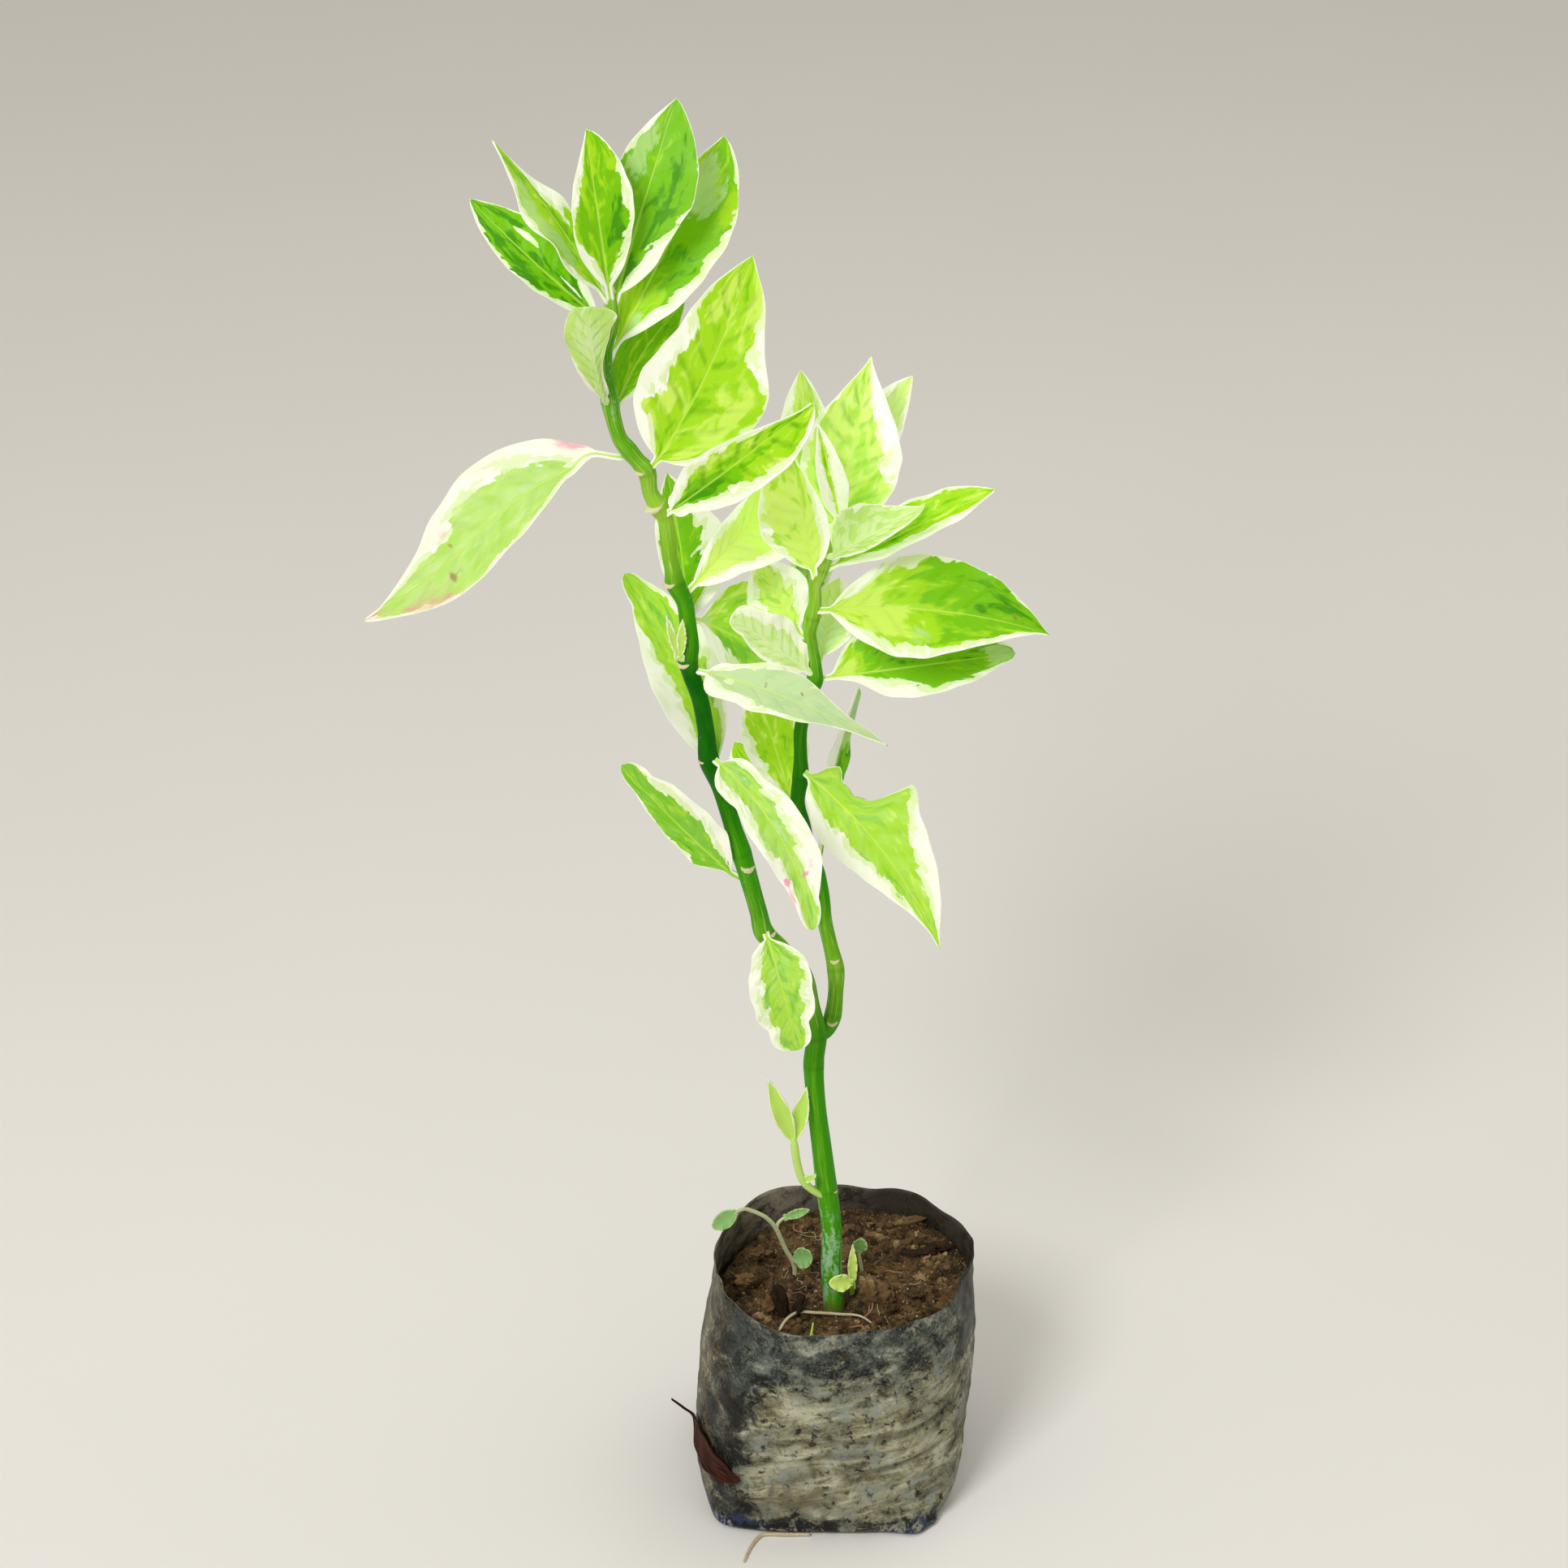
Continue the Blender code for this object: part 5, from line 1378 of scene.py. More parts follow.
# %% Soil form
# Soft mounds and hollows of the soil as x, y, rise and spread
SOIL_LUMPS = [
    (18, -11, 5.0, 6), (26, -4, 2.0, 6), (2, -15, -1.5, 9), (-10, -22, 1.5, 8),
    (28, 18, 2.0, 9), (4, 26, 2.0, 10), (-34, 14, -10.0, 20), (-22, -26, 1.0, 8),
    (34, -20, -2.0, 9), (-14, 4, -1.0, 8), (12, 38, 1.5, 8),
]
SOIL_LEVEL = 81.0
# How much the soil rises toward the right
SOIL_SLOPE = 0.02


def soil_height(x, y):
    """Height of the soil surface."""
    height = SOIL_LEVEL + SOIL_SLOPE * x
    for lump_x, lump_y, lump, spread in SOIL_LUMPS:
        distance = (x - lump_x) ** 2 + (y - lump_y) ** 2
        height = height + lump * math.exp(-distance / (2 * spread ** 2))
    return height


def soil_bumps(x, y):
    """Small unevenness of the soil surface."""
    bumps = 0
    for size, layer, rise in ((7, 1.0, 1.1), (2.6, 5.0, 0.9), (1.0, 9.0, 0.4)):
        bumps += noise.noise(Vector((x / size, y / size, layer))) * rise
    return bumps


print("soil stands", SOIL_LEVEL, "mm over the floor")

# %% [markdown]
# Damp soil is many shades of brown in one handful. Every crumb carries its own shade as
# a field, and the finish spreads that from nearly black to dry tan.

# %% Soil finish
SOIL_DARK = tint(52, 38, 22)
SOIL_BROWN = tint(124, 98, 62)
SOIL_TAN = tint(200, 172, 128)
SOIL_RUST = tint(120, 66, 34)


def soil_finish():
    """Damp brown soil whose crumbs differ in shade."""
    f = Finish("soil", 0.9, Specular_IOR_Level=0.25)
    grain = f.cloud(f.place(), 1700.0, 4.0, 0.75)
    patch = f.cloud(f.place(), 110.0, 3.0, 0.6)
    tone = f.field("shade") + (grain - 0.5) * 1.1 + (patch - 0.5) * 1.1
    colour = f.mix(tone.ramp(0.1, 0.6), SOIL_DARK, SOIL_BROWN)
    colour = f.mix((tone - 0.62).ramp(0.0, 0.4), colour, SOIL_TAN)
    rust = f.cloud(f.place(), 160.0, 2.0, 0.5)
    colour = f.mix(rust.ramp(0.6, 0.72) * 0.4, colour, SOIL_RUST)
    return f.finish(colour, f.bump(grain, 0.8, 0.0008), roughness=0.8 + grain * 0.2)


soil_paint = soil_finish()
print("soil finish has", len(soil_paint.node_tree.nodes), "nodes")

# %% [markdown]
# The ground is a disc of rings that follows the wall of the bag, and below its edge a
# few more rings close it inside the bag.

# %% Build the soil
SOIL_SECTORS = 180
SOIL_RINGS = 64
# Middle of the soil's rings and place of its first point
SOIL_X, FIRST_X = 6.3, 6.5
# Height of the soil's edge, and the gaps to the film there and below it
SOIL_EDGE = 80.0
EDGE_GAP, SIDE_GAP = 2.0, 2.6
# Heights of the rings below the edge
LOWER_RINGS = (66.0, 40.0, 8.0, 2.0)
# Shades of the ground between the crumbs and of its hidden sides
GROUND_SHADE, HIDDEN_SHADE = 0.3, 0.2


def wall_reach(degrees):
    """Distance from the soil's middle to the inner wall of the bag."""
    return bag_outline(degrees, SOIL_EDGE)[2] - EDGE_GAP


def soil_spot(degrees, reach):
    """Place on the soil at an angle and a distance from its middle."""
    turn = math.radians(degrees)
    return SOIL_X + reach * math.cos(turn), reach * math.sin(turn)


def soil_points():
    """Points of the ground from its middle outward and down, with their shades."""
    points = [(FIRST_X, 0.0, soil_height(FIRST_X, 0) + soil_bumps(FIRST_X, 0))]
    shade = [GROUND_SHADE]
    angles = [360 * sector / SOIL_SECTORS for sector in range(SOIL_SECTORS)]
    for share in np.linspace(0, 1, SOIL_RINGS + 1)[1:] ** 0.8:
        for degrees in angles:
            x, y = soil_spot(degrees, wall_reach(degrees) * share)
            points.append((x, y, soil_height(x, y) + soil_bumps(x, y)))
            shade.append(GROUND_SHADE + 0.25 * noise.noise(Vector((x / 3, y / 3, 2.0))))
    for height in LOWER_RINGS:
        for degrees in angles:
            centre_x, centre_y, radius = bag_outline(degrees, height)
            radius -= SIDE_GAP
            turn = math.radians(degrees)
            points.append((centre_x + radius * math.cos(turn),
                           centre_y + radius * math.sin(turn), height))
    points.append((BOTTOM_X, BOTTOM_Y, LOWER_RINGS[-1]))
    shade += [HIDDEN_SHADE] * (len(points) - len(shade))
    return points, np.array(shade)


def add_soil():
    """The filling with an uneven top."""
    points, shade = soil_points()
    last = len(points) - 1
    rings = SOIL_RINGS + len(LOWER_RINGS)
    end = 1 + (rings - 1) * SOIL_SECTORS
    faces = []
    for sector in range(SOIL_SECTORS):
        after = (sector + 1) % SOIL_SECTORS
        faces.append((0, 1 + sector, 1 + after))
        for ring in range(rings - 1):
            a, b = 1 + ring * SOIL_SECTORS + sector, 1 + ring * SOIL_SECTORS + after
            faces.append((a, a + SOIL_SECTORS, b + SOIL_SECTORS, b))
        faces.append((last, end + after, end + sector))
    return new_piece("soil_ground", points, faces, soil_paint, ["soil"],
                     {"shade": shade})


soil_piece = add_soil()
print("soil has", len(soil_piece.data.polygons), "faces")

# %% [markdown]
# Crumbs and clods are round balls whose points were pushed in and out by noise. Sand and
# crumbs are strewn by a seeded draw, and the larger clods and chips lie at set places.
# All go in one mesh, since thousands of objects would be slow to handle.

# %% Crumbs and clods
# Count, roundness, least size, spread of sizes, most and shade of sand and of crumbs
GRAINS = ((2600, 1, 0.22, 0.12, 0.6, 0.62), (640, 2, 0.5, 0.4, 1.9, 0.4))
# Place of the stem's foot, and how far crumbs and sticks keep from it
FOOT_X, FOOT_Y = 3, -15
CRUMB_GAP, STICK_GAP = 4.4, 5.5
# Roundness and jaggedness of the large lumps
LUMP_LEVELS, LUMP_JAGGED = 4, 0.8


def put(points, faces, more, more_faces):
    """Adds a small mesh to the points and faces of a larger one."""
    start = len(points)
    points.extend(more)
    faces.extend(tuple(corner + start for corner in face) for face in more_faces)


def round_stone(levels):
    """Points and faces of a ball made of even triangles."""
    ball = bmesh.new()
    bmesh.ops.create_icosphere(ball, subdivisions=levels, radius=1.0)
    points = np.array([tuple(v.co) for v in ball.verts])
    faces = [tuple(v.index for v in face.verts) for face in ball.faces]
    ball.free()
    return points, faces


def stone_points(centre, sizes, draw, base, jagged=0.45, lean=None):
    """An uneven stone from the points of a round one."""
    seed = draw.uniform(0, 50)
    bumps = rough(base, 0.75, seed)
    if jagged > 0.6:
        bumps = bumps + 0.5 * rough(base, 0.3, seed) + 0.25 * rough(base, 0.12, seed)
    if lean is None:
        turn, _ = np.linalg.qr(draw.normal(size=(3, 3)))
    else:
        c, s = math.cos(math.radians(lean)), math.sin(math.radians(lean))
        turn = np.array([(c, 0, s), (0, 1, 0), (-s, 0, c)])
    return (base * (1 + jagged * bumps)[:, None] * sizes) @ turn.T + centre


# Large lumps as x, y, rise above the soil, sizes, shade and lean to the right in degrees
LARGE_LUMPS = [
    (14.5, -7.0, 3.2, (5.2, 4.4, 4.8), 0.56, 0), (20.0, -13.5, 2.0, (5.6, 4.0, 4.6), 0.46, 20),
    (17.0, -11.5, 4.0, (4.6, 3.8, 6.2), 0.64, 10), (23.5, -18.0, 0.8, (3.6, 2.4, 2.8), 0.4, 0),
    (-16.5, -18.0, 3.4, (2.2, 2.8, 9.0), -0.3, -18), (-10.5, -20.0, 2.6, (1.8, 2.4, 6.6), -0.2, 24),
    (-21.5, -17.0, 1.4, (3.2, 2.2, 4.6), 0.62, 25), (-25.0, -23.0, 0.8, (3.4, 2.4, 2.4), 0.7, 0),
    (-8.5, -22.5, 0.5, (2.6, 1.8, 1.8), 0.2, 0), (28.0, -5.0, 0.8, (4.4, 1.5, 1.5), 0.62, 30),
    (33.5, -9.0, 0.8, (3.6, 1.6, 1.6), 0.3, -15), (37.5, 1.0, 0.8, (3.2, 1.6, 1.4), 0.7, 15),
    (36.0, 17.5, 1.2, (7.0, 2.0, 1.6), -0.2, -8), (43.0, 20.5, 1.4, (5.0, 1.8, 2.2), -0.3, 6),
    (28.0, 22.0, 1.0, (6.0, 1.8, 2.4), 0.5, -12), (20.0, 27.0, 1.0, (5.4, 1.8, 2.2), 0.62, 8),
    (33.0, 38.0, 1.0, (6.0, 1.8, 2.2), 0.7, -10), (6.0, 30.0, 0.8, (4.4, 2.6, 2.0), 0.42, 0),
    (30.0, 8.0, 0.6, (4.4, 2.4, 1.8), 0.36, 18), (22.0, 6.0, 0.5, (3.0, 2.0, 1.6), 0.55, 0),
    (12.0, 39.0, 0.7, (4.0, 2.0, 2.0), 0.45, 0), (40.0, -20.0, 0.6, (3.0, 2.0, 1.6), 0.4, 0),
    (12.0, -21.0, 0.5, (2.4, 1.6, 1.4), -0.1, 0), (-31.0, 3.0, 0.6, (3.0, 2.2, 1.4), 0.55, 0),
    (-26.0, 20.0, 0.6, (3.6, 2.2, 1.6), 0.4, 0), (2.0, -34.0, 0.5, (3.2, 2.0, 1.4), 0.5, 0),
]


def add_crumbs():
    """Sand grains, crumbs and a few large lumps in one mesh."""
    draw = np.random.default_rng(7)
    points, faces, shade = [], [], []
    for count, levels, least, spread, most, middle in GRAINS:
        base, base_faces = round_stone(levels)
        for _ in range(count):
            degrees = draw.uniform(0, 360)
            size = min(least + draw.exponential(spread), most)
            reach = (wall_reach(degrees) - size * 0.8) * math.sqrt(draw.uniform(0, 1))
            x, y = soil_spot(degrees, reach)
            tone = draw.normal(middle, 0.22)
            sizes = size * draw.uniform(0.65, 1.2, 3)
            if math.hypot(x - FOOT_X, y - FOOT_Y) < CRUMB_GAP + size:
                continue
            centre = (x, y, soil_height(x, y) + soil_bumps(x, y) + size * 0.15)
            put(points, faces, stone_points(centre, sizes, draw, base), base_faces)
            shade += [tone] * len(base)
    base, base_faces = round_stone(LUMP_LEVELS)
    for x, y, rise, sizes, tone, lean in LARGE_LUMPS:
        centre = (x, y, SOIL_LEVEL + rise + SOIL_SLOPE * x)
        lump = stone_points(centre, sizes, draw, base, LUMP_JAGGED, lean)
        put(points, faces, lump, base_faces)
        shade += [tone] * len(base)
    return new_piece("soil_crumbs", points, faces, soil_paint, [],
                     {"shade": np.array(shade)})


crumbs = add_crumbs()
print("crumbs have", len(crumbs.data.polygons), "faces")

# %% [markdown]
# Twigs and hair roots lie loose on the soil. Straight rods would look laid out by hand,
# so they are short bent tubes of uneven thickness, joined in one mesh for each finish.

# %% Twigs and roots
STICK_ROWS, STICK_SIDES = 9, 7


def litter_finish(name, low, high, roughness):
    """Fibrous plant litter between two shades."""
    f = Finish(name, roughness)
    grain = f.cloud(f.place(), 1300.0, 3.0, 0.6)
    tone = f.field("shade") + (grain - 0.5) * 0.8
    return f.finish(f.mix(tone.ramp(0.2, 0.8), low, high), f.bump(grain, 0.6, 0.0005))


twig_paint = litter_finish("twig", tint(58, 40, 30), tint(150, 112, 82), 0.8)
root_paint = litter_finish("pale_root", tint(150, 128, 96), tint(222, 208, 172), 0.6)


def stick_rows(draw, lengths, radii, lift):
    """Points and radii along one bent stick that lies somewhere on the soil."""
    degrees = draw.uniform(0, 360)
    length = draw.uniform(*lengths)
    reach = (wall_reach(degrees) - length / 2 - 1) * math.sqrt(draw.uniform(0, 1))
    middle = np.array(soil_spot(degrees, reach))
    heading = draw.uniform(0, math.pi)
    bend = draw.uniform(-0.9, 0.9, 3)
    radius = draw.uniform(*radii)
    rows = []
    for t in np.linspace(-0.5, 0.5, STICK_ROWS):
        turn = heading + bend[0] * t + bend[1] * math.sin(5 * t)
        x, y = middle + length * t * np.array([math.cos(turn), math.sin(turn)])
        level = soil_height(x, y) + radius + lift + bend[2] * 1.2 * t
        rows.append((x, y, level, radius * (1 - 1.1 * t ** 2)))
    return rows


def add_litter(name, count, lengths, radii, lift, paint, seed):
    """Scattered bent sticks on the soil in one mesh."""
    draw = np.random.default_rng(seed)
    points, faces, shade = [], [], []
    for _ in range(count):
        rows = stick_rows(draw, lengths, radii, lift)
        if min(math.hypot(row[0] - FOOT_X, row[1] - FOOT_Y) for row in rows) < STICK_GAP:
            continue
        shaped, tube_faces, _, _ = tube(rows, STICK_SIDES)
        put(points, faces, shaped, tube_faces)
        shade += [draw.uniform(0, 1)] * len(shaped)
    return new_piece(name, points, faces, paint, [], {"shade": np.array(shade)})


twigs = add_litter("soil_twigs", 46, (3.0, 9), (0.3, 0.8), 0.2, twig_paint, 21)
hair_roots = add_litter("soil_hair_roots", 16, (6, 16), (0.08, 0.15), 0.5, root_paint, 22)
print("twigs have", len(twigs.data.polygons), "faces, hair roots", len(hair_roots.data.polygons))

# %% [markdown]
# Two pale young shoots break from the stem, and three kinds of seedling have come up
# in the soil. Flat cards with a cut out outline would do from the front only. So each is
# a few thin stalks with small blades, made with the tube and blade helpers of the plant.

# %% Small plant tables
def leaflet(base, reach, half, stalk=0.5, **more):
    """A small leaf with two like halves."""
    return leaf("", base, reach, (half, half), stalk=stalk, **more)


BASAL_SHOOT = [
    (-1, -16, 133, 1.2), (-5, -18, 137, 1.4), (-9, -20, 143, 1.5), (-11, -21, 151, 1.5),
    (-12, -22, 159, 1.5), (-12.5, -22, 164, 1.0),
]
BASAL_LEAFLETS = [
    leaflet((-12, -22, 160), (-10, -2, 31), 3.6, stalk=1, wave=0.3, fold=(20, 20)),
    leaflet((-12.5, -22, 160), (5, 6, 22), 3.2, stalk=1, wave=0.3, fold=(20, 20)),
    leaflet((-9, -20, 142), (5, -2, 5), 1.6, stalk=1, wave=0),
]
NODE_SHOOT = [(-48, -20, 361, 1.2), (-51, -22, 362, 1.2), (-52, -23.5, 364, 0.8)]
NODE_LEAFLETS = [
    leaflet((-52, -23, 362), (-4, -3, 19), 1.4, stalk=1, wave=0, fold=(10, 10)),
    leaflet((-51.5, -23, 362), (1, -2, 17), 1.6, stalk=1, wave=0, fold=(10, 10)),
]
SPROUT = [
    (10, -8, 74, 0.9), (10, -8, 82, 0.9), (10, -11, 87, 0.9), (10, -13, 90, 0.8),
    (9.5, -18, 95, 0.7),
]
SPROUT_LEAFLETS = [
    leaflet((10, -17, 94), (-9, -5, 3.5), 3.4, stalk=1, wave=0.2, power=0.5),
    leaflet((10, -12, 88), (0, 0, 20), 2.0, stalk=1, wave=0, fold=(30, 30)),
]
SEEDLING = [(14, 2, 74, 0.7), (14, 2, 84, 0.7), (13, 1, 92, 0.7), (12.5, 0, 97, 0.6)]
SEEDLING_LEAFLETS = [leaflet((12.5, 0, 96), (1, -1, 7), 3.0, wave=0.2, power=0.5)]
WEED = [
    (-12, 13, 70, 0.8), (-12, 13, 80, 0.9), (-15.5, 12, 89, 0.9), (-19, 11, 99, 0.9),
    (-23, 10, 105, 0.8), (-29, 9, 109, 0.8), (-32, 8, 110, 0.7), (-35, 8, 108, 0.6),
]
WEED_TWIG = [(-19, 11, 98, 0.7), (-18, 12, 101, 0.7), (-15, 13.5, 103, 0.6)]
WEED_STALK = [(-12, 13, 80, 0.7), (-12, 12, 83, 0.7), (-11.5, 11, 85, 0.6)]
WEED_LEAFLETS = [
    leaflet((-34, 8, 109), (-9, -1, -7), 3.4, wave=0.2, power=0.5),
    leaflet((-16, 13, 102.5), (10, 2, 2.5), 1.8, wave=0.2, power=0.7),
    leaflet((-12, 11, 84.5), (7, -2, 3), 4.2, wave=0.2, power=0.4),
]
ROOTLET = [
    (-19, -32, 78, 0.6), (-16, -26, 82, 0.6), (-11, -21, 83, 0.6), (-4, -21, 83, 0.6),
    (5, -22, 83, 0.55), (13, -24, 83.5, 0.45), (20, -27, 80, 0.25),
]
GRASS = [(-6, -36, 76, 0.7), (-6, -36, 81, 0.7), (-5, -34, 88, 0.25)]
GROUND_ROOT = [
    (-6, -51.3, 1.0, 0.6), (-15, -51.4, 1.0, 0.7), (-23, -51.2, 1.0, 0.7),
    (-26, -53.5, 1.0, 0.7), (-29, -60, 1.0, 0.6), (-31, -67, 1.0, 0.45),
]
print("small plants have", len(BASAL_LEAFLETS + NODE_LEAFLETS + SPROUT_LEAFLETS
                               + SEEDLING_LEAFLETS + WEED_LEAFLETS), "small leaves")

# %% [markdown]
# Young growth is thin and lets light through, so it is pale with a paler rim. One finish
# takes three colours: the stalk, the blade and the rim. Fields tell the parts apart.

# %% Small plant finishes
def shoot_finish(name, stalk, blade, rim, roughness):
    """Young growth: one colour for the stalk, another for the blade and its rim."""
    f = Finish(name, roughness, Subsurface_Weight=0.15, Subsurface_Scale=0.001)
    grain = f.cloud(f.place(), 700.0, 3.0, 0.6)
    patch = f.cloud(f.place(), 210.0, 2.0, 0.6)
    leafy = f.mix((f.field("edge") + (patch - 0.5) * 0.8).ramp(0.1, 0.5), rim, blade)
    colour = f.mix(f.field("blade"), f.mix(grain.ramp(0.3, 0.7) * 0.4, stalk, blade), leafy)
    # A faint painted glow of the same colour stands in for light shining through the thin growth.
    return f.finish(colour, f.bump(grain, 0.3, 0.0005), light=colour, glow=0.08)


young_paint = shoot_finish("young_shoot", tint(190, 224, 116), tint(186, 224, 92),
                           tint(240, 244, 204), 0.45)
sprout_paint = shoot_finish("young_sprout", tint(148, 196, 60), tint(212, 240, 112),
                            tint(236, 246, 170), 0.45)
weed_paint = shoot_finish("weed_green", tint(198, 200, 158), tint(134, 180, 104),
                          tint(172, 204, 130), 0.5)
GRASS_GREEN = tint(190, 220, 90)
grass_paint = shoot_finish("grass_green", GRASS_GREEN, GRASS_GREEN, GRASS_GREEN, 0.5)
print("a young finish has", len(young_paint.node_tree.nodes), "nodes")

# %% [markdown]
# Stalks and small blades of one plant go into one mesh, with a field that is 1 on the
# blades. The roots and the grass are made the same way and simply have no blades.

# %% Build the small plants
# Rings of points between two rows of a stalk, and points round it
SHOOT_STEPS, SHOOT_SIDES = 6, 12
LEAFLET_ROWS, LEAFLET_COLUMNS = 22, 11
# Half the thickness of a small leaf
LEAFLET_HALF = 0.3
# How pale the roots are between the two shades of their finish
ROOT_SHADE = 0.6


def add_shoot(name, solid, slot, paint, stalks, leaflets=()):
    """Stalks and blades of a small plant in one mesh."""
    points, faces, blades, edges = [], [], [], []
    for rows in stalks:
        shaped, tube_faces, _, _ = tube(spline(rows, SHOOT_STEPS), SHOOT_SIDES)
        put(points, faces, shaped, tube_faces)
    blades += [0.0] * len(points)
    edges += [1.0] * len(points)
    along = np.linspace(0, 1, LEAFLET_ROWS + 1)
    across = np.sin(np.linspace(-1, 1, LEAFLET_COLUMNS) * math.pi / 2)
    for number, item in enumerate(leaflets):
        draw = np.random.default_rng(900 + number)
        grid, widths = blade_grid(item, along, across, draw)
        normals = grid_normals(grid)
        skin = [skin_rows(grid + normals * lift) for lift in (LEAFLET_HALF, -LEAFLET_HALF)]
        put(points, faces, np.concatenate(skin), blade_faces(LEAFLET_ROWS, LEAFLET_COLUMNS))
        edges += [*np.tile(skin_rows((1 - np.abs(across))[None, :] * widths), 2)]
        blades += [1.0] * (len(points) - len(blades))
    fields = {"blade": np.array(blades), "edge": np.array(edges), "shade": ROOT_SHADE}
    return new_piece(name, points, faces, paint, [solid], fields)


# Solid, slot, finish, stalks and leaves of each
SMALL_PLANTS = [
    ("basal_shoot", "young_shoot", young_paint, [BASAL_SHOOT], BASAL_LEAFLETS),
    ("node_shoot", "young_shoot", young_paint, [NODE_SHOOT], NODE_LEAFLETS),
    ("soil_sprout", "young_shoot", sprout_paint, [SPROUT], SPROUT_LEAFLETS),
    ("small_seedling", "weed_green", weed_paint, [SEEDLING], SEEDLING_LEAFLETS),
    ("weed_seedling", "weed_green", weed_paint, [WEED, WEED_TWIG, WEED_STALK], WEED_LEAFLETS),
    ("rootlet", "pale_root", root_paint, [ROOTLET]),
    ("grass_blade", "weed_green", grass_paint, [GRASS]),
    ("ground_root", "pale_root", root_paint, [GROUND_ROOT]),
]
small_plants = [add_shoot(plant[0] + "_skin", *plant) for plant in SMALL_PLANTS]
print(len(small_plants), "small plants and roots")

# %% [markdown]
# A dry brown leaf leans on the left of the bag, with its thin stalk curled away from
# the film. A flat leaf would cut into the round wall, so its points are set by angle and
# height round the bag, at a small distance from the film.

# %% Dead leaf
# Its midrib as angle and height on the bag, distance from the film and half width
DEAD_LEAF = [
    (-166, 38, 11, 0.5), (-166, 33, 6, 0.6), (-165, 29, 1.8, 1.0), (-158, 28, 1.3, 4.8),
    (-150, 27, 1.3, 6.0), (-141, 25.5, 1.3, 5.5), (-132, 24.5, 1.4, 3.5), (-126, 24, 1.6, 0.5),
]
# Rows between two rows of the midrib, points across, and half its thickness
DEAD_STEPS, DEAD_COLUMNS = 7, 13
DEAD_HALF = 0.25
DRY_DARK = tint(28, 14, 8)
DRY_BROWN = tint(78, 38, 20)
DRY_TAN = tint(106, 64, 38)
DRY_RIB = tint(54, 24, 10)


def dry_finish():
    """Brittle red brown leaf with darker veins."""
    f = Finish("dry_leaf", 0.62, Specular_IOR_Level=0.1)
    along, across = f.field("along"), f.field("across")
    out = across.maths("ABSOLUTE")
    veins = f.vector((along - out * 0.3) * 16.0, out * 2.0, across.maths("SIGN"))
    streak = f.cloud(veins, 1.0, 3.0)
    grain = f.cloud(f.place(), 900.0, 3.0, 0.6)
    colour = f.mix(streak.ramp(0.35, 0.65), DRY_DARK, DRY_BROWN)
    colour = f.mix(grain.ramp(0.6, 0.8) * 0.35, colour, DRY_TAN)
    colour = f.mix((1 - out.ramp(0.02, 0.1)) * 0.5, colour, DRY_RIB)
    return f.finish(colour, f.bump(streak + grain * 0.4, 0.6, 0.0006))


def dead_grid(rows, across):
    """Points of the curled leaf, by angle and height on the bag."""
    grid = np.zeros((len(rows), len(across), 3))
    for row, (degrees, height, stand, half) in enumerate(rows):
        for column, place in enumerate(across):
            level = height + place * half
            curl = 0.8 * place ** 2 + 0.25 * math.sin(row * 0.7 + place * 2)
            centre_x, centre_y, radius = bag_outline(degrees, level)
            radius += stand + curl * min(half / 4, 1)
            turn = math.radians(degrees)
            grid[row, column] = (centre_x + radius * math.cos(turn),
                                 centre_y + radius * math.sin(turn), level)
    return grid


def add_dead_leaf():
    """Thin curled leaf against the film."""
    rows = spline(DEAD_LEAF, DEAD_STEPS)
    across = np.linspace(1, -1, DEAD_COLUMNS)
    grid = dead_grid(rows, across)
    normals = grid_normals(grid)
    points = [skin_rows(grid + normals * lift) for lift in (-DEAD_HALF, DEAD_HALF)]
    faces = [tuple(reversed(face)) for face in blade_faces(len(rows) - 1, DEAD_COLUMNS)]
    count = len(points[0])
    place = np.repeat(np.linspace(0, 1, len(rows)), DEAD_COLUMNS)[:count]
    sides = np.tile(across, len(rows))[:count]
    fields = {"along": np.tile(place, 2), "across": np.tile(sides, 2)}
    return new_piece("dead_leaf_skin", np.concatenate(points), faces, dry_finish(),
                     ["dead_leaf"], fields)


dead_leaf = add_dead_leaf()
print("dead leaf has", len(dead_leaf.data.polygons), "faces")

# %% [markdown]
# The plant stands on a plain pale floor. A large soft lamp at the front left and a
# pale surround light it. A small hard lamp would throw black shadows over half of the
# leaves, and their patterns would be lost.

# %% Floor and light
# Half of the floor's side in metres
FLOOR_HALF = 6
FLOOR_DARK, FLOOR_PALE = tint(240, 238, 234), tint(246, 244, 240)
SKY = tint(250, 245, 232)
SKY_STRENGTH = 0.45
# Middle of the plant, where the lamps point
LAMP_AIM = (0, 0, 0.25)
# Name, place and size in metres, and watts
LAMPS = (("key_lamp", (-0.8, -1.4, 1.75), 0.7, 24.5), ("top_lamp", (0.5, 0.4, 1.9), 1.2, 7))


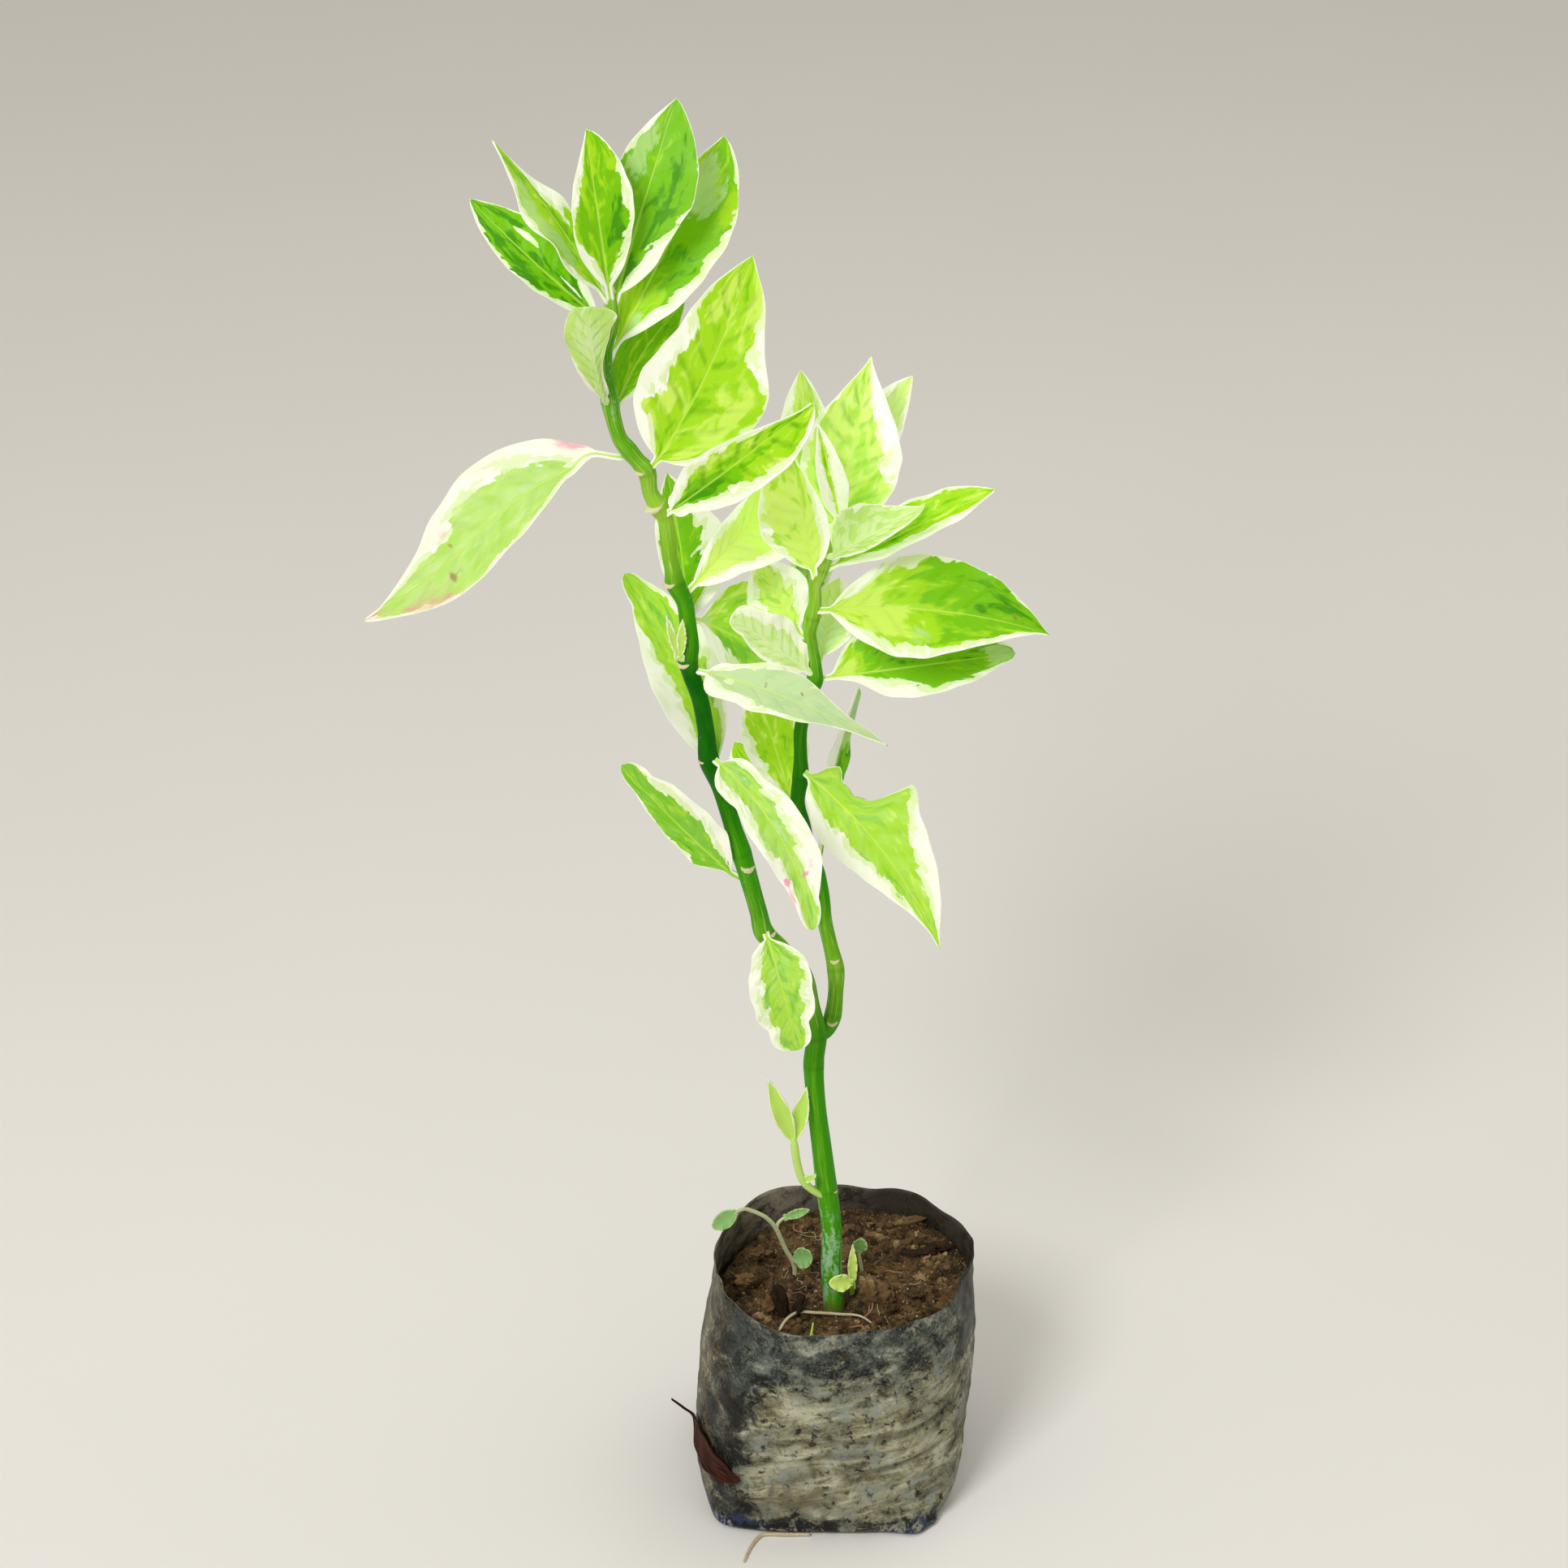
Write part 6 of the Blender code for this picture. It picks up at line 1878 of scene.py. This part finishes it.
def add_floor():
    """A plain pale floor, which is no part of the plant."""
    mesh = bpy.data.meshes.new("floor")
    corners = [(x * FLOOR_HALF, y * FLOOR_HALF, 0) for x, y in ((-1, -1), (1, -1), (1, 1), (-1, 1))]
    mesh.from_pydata(corners, [], [(0, 1, 2, 3)])
    floor = bpy.data.objects.new("floor", mesh)
    bpy.context.scene.collection.objects.link(floor)
    f = Finish("floor", 0.8)
    dust = f.cloud(f.place(), 3.0, 3.0, 0.6)
    mesh.materials.append(f.finish(f.mix(dust, FLOOR_DARK, FLOOR_PALE)))


def add_lamp(name, place, size, watts):
    """A square soft lamp that points at the plant."""
    light = bpy.data.lights.new(name, "AREA")
    light.shape = "SQUARE"
    light.size = size
    light.energy = watts
    lamp = bpy.data.objects.new(name, light)
    lamp.location = place
    aim = Vector(LAMP_AIM) - Vector(place)
    lamp.rotation_euler = aim.to_track_quat("-Z", "Y").to_euler()
    bpy.context.scene.collection.objects.link(lamp)


def add_world():
    """An even pale surround."""
    world = bpy.data.worlds.new("surround")
    world.use_nodes = True
    sky = world.node_tree.nodes["Background"]
    sky.inputs["Color"].default_value = SKY
    sky.inputs["Strength"].default_value = SKY_STRENGTH
    bpy.context.scene.world = world


add_floor()
for lamp in LAMPS:
    add_lamp(*lamp)
add_world()
bpy.context.scene.view_settings.view_transform = "Standard"
print(len(LAMPS), "soft lamps")

# %% [markdown]
# The camera stands where the one of the photograph stood. Its place was worked out from
# the rings of the bag and the upright stem. It has no depth of field and no shift.

# %% Camera
CAMERA_PLACE = (-0.0159, -1.261, 1.008)
# Tilt in degrees from straight down, and width of the sensor and focal length in mm
CAMERA_TILT = 60.7
SENSOR, FOCAL_LENGTH = 36.0, 93.17


def add_camera():
    """The long lens that looks down at the plant."""
    lens = bpy.data.cameras.new("camera")
    lens.sensor_width = SENSOR
    lens.lens = FOCAL_LENGTH
    camera = bpy.data.objects.new("camera", lens)
    camera.location = CAMERA_PLACE
    camera.rotation_euler = (math.radians(CAMERA_TILT), 0.0, 0.0)
    bpy.context.scene.collection.objects.link(camera)
    bpy.context.scene.camera = camera


add_camera()
print("camera stands", CAMERA_PLACE[2], "m high")
